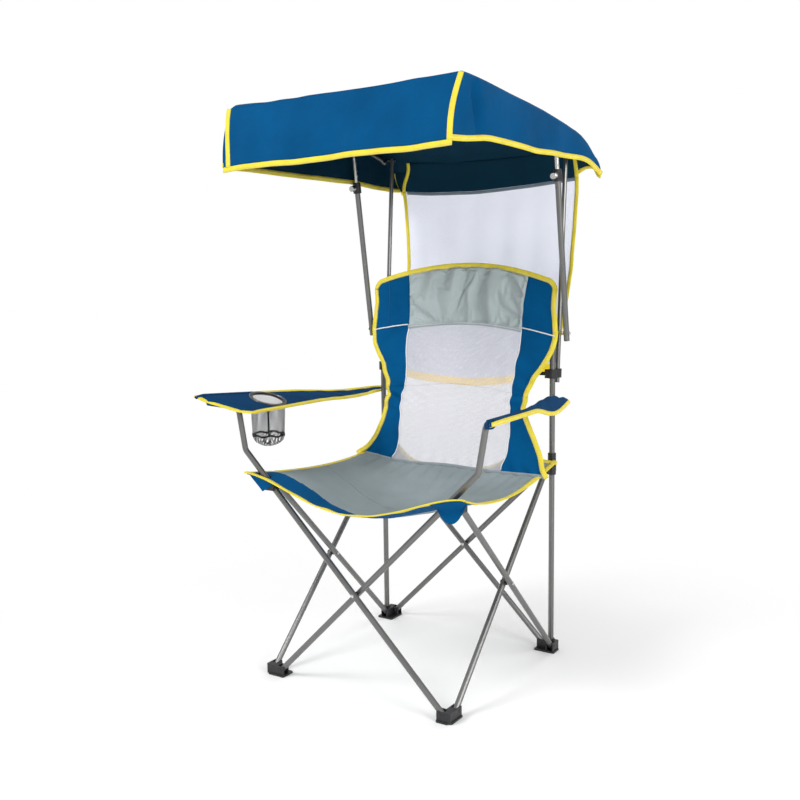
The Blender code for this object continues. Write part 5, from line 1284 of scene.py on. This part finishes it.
pocket_grid = np.stack([x, y, z], -1)
cup_mesh = join_seams(sheet_piece("cup_pocket_mesh", pocket_grid, 0.0010, [DARK_MESH]))
ring_row = int(len(downs) * RING_SHARE)
pocket_turn = grid_normals(pocket_grid)
cup_trims = [sweep("cup_pocket_ring", pocket_grid[:-1, ring_row], pocket_turn[:-1, ring_row],
                   flat_outline(0.0048, 0.0024, 0.0), BLACK_TAPE, closed=True)]
column, span = 83, slice(0, ring_row + 1)
cup_trims.append(sweep("cup_pocket_side_seam", pocket_grid[column, span], pocket_turn[column, span],
                       flat_outline(0.0048, 0.0020), BLACK_TAPE))
ring_turn = np.linspace(0, 2 * np.pi, 97)[:-1]
first = unit(np.cross(cup_axis, [0, 1.0, 0]))
second = np.cross(cup_axis, first)
ring_way = np.cos(ring_turn)[:, None] * first + np.sin(ring_turn)[:, None] * second
ring_path = cup + cup_axis * 0.0042 + 0.0490 * ring_way
cup_trims.append(sweep("cup_ring_silver_line", ring_path, np.broadcast_to(cup_axis, ring_path.shape),
                       round_outline(0.0005, 6), STEEL, closed=True))
print("cup at", np.round(cup, 4))

# %% [markdown]
# ## What carries each piece
#
# The canopy and the curtain's band move with the left rail, and the curtain's mesh, the back's
# upper half and the headrest with the left rear stand. The back's lower half and the seat's
# rear half move with the left slider, the seat's front half with the left front corner, and
# each armrest with its front tube.


def ride_all(pieces, body, keep=None):
    """The pieces move with a body and, where keep is given, each gets a mesh of its own."""
    for piece in pieces:
        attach(piece, body)
        if keep:
            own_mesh(piece)


ride_all([hood, flap_front, flap_rear], "left_rail", 0.5)
ride_all(canopy_tapes, "left_rail", 0.5)
ride_all([curtain_band] + band_tapes, "left_rail", 0.5)
ride_all([curtain], "rear_left_stand", 0.41)
ride_all(curtain_tapes, "rear_left_stand", 0.41)
ride_all([back_upper], "rear_left_stand", 0.41)
ride_all([back_lower], "left_slider", 0.41)
ride_all(lower_trims, "left_slider", 0.41)
ride_all([headrest], "rear_left_stand", 0.41)
ride_all(back_trims, "rear_left_stand", 0.41)
rear_tapes = [p for p in seat_tapes if "rear" in p.name]
linings = [p for p in seat_tapes if "lining" in p.name]
front_tapes = [p for p in seat_tapes if p not in rear_tapes and p not in linings]
ride_all([seat_pieces[0]] + front_tapes, "left_corner", 0.42)
ride_all([seat_pieces[1]] + rear_tapes, "left_slider", 0.42)
ride_all([linings[0]], "left_corner")
ride_all([linings[1]], "right_corner")
ride_all([pockets["left"]], "left_corner")
ride_all([pockets["right"]], "right_corner")
arm_bodies = {"left": "front_left_leg", "right": "front_right_leg"}
for word, body in arm_bodies.items():
    ride_all(arm_fronts[word][:1], body)
    ride_all(arm_fronts[word][1:], body)
    ride_all(arm_rears[word], body, 0.35)
ride_all([cup_mesh] + cup_trims, "front_left_leg")

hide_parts("canopy_cover")
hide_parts("rear_curtain")
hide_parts("back_fabric")
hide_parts("seat_fabric")
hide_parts("corner_pocket_left")
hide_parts("corner_pocket_right")
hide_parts("armrest_left")
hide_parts("armrest_right")
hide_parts("cup_pocket")


for word in arm_bodies:
    grid = arm_grids[word]
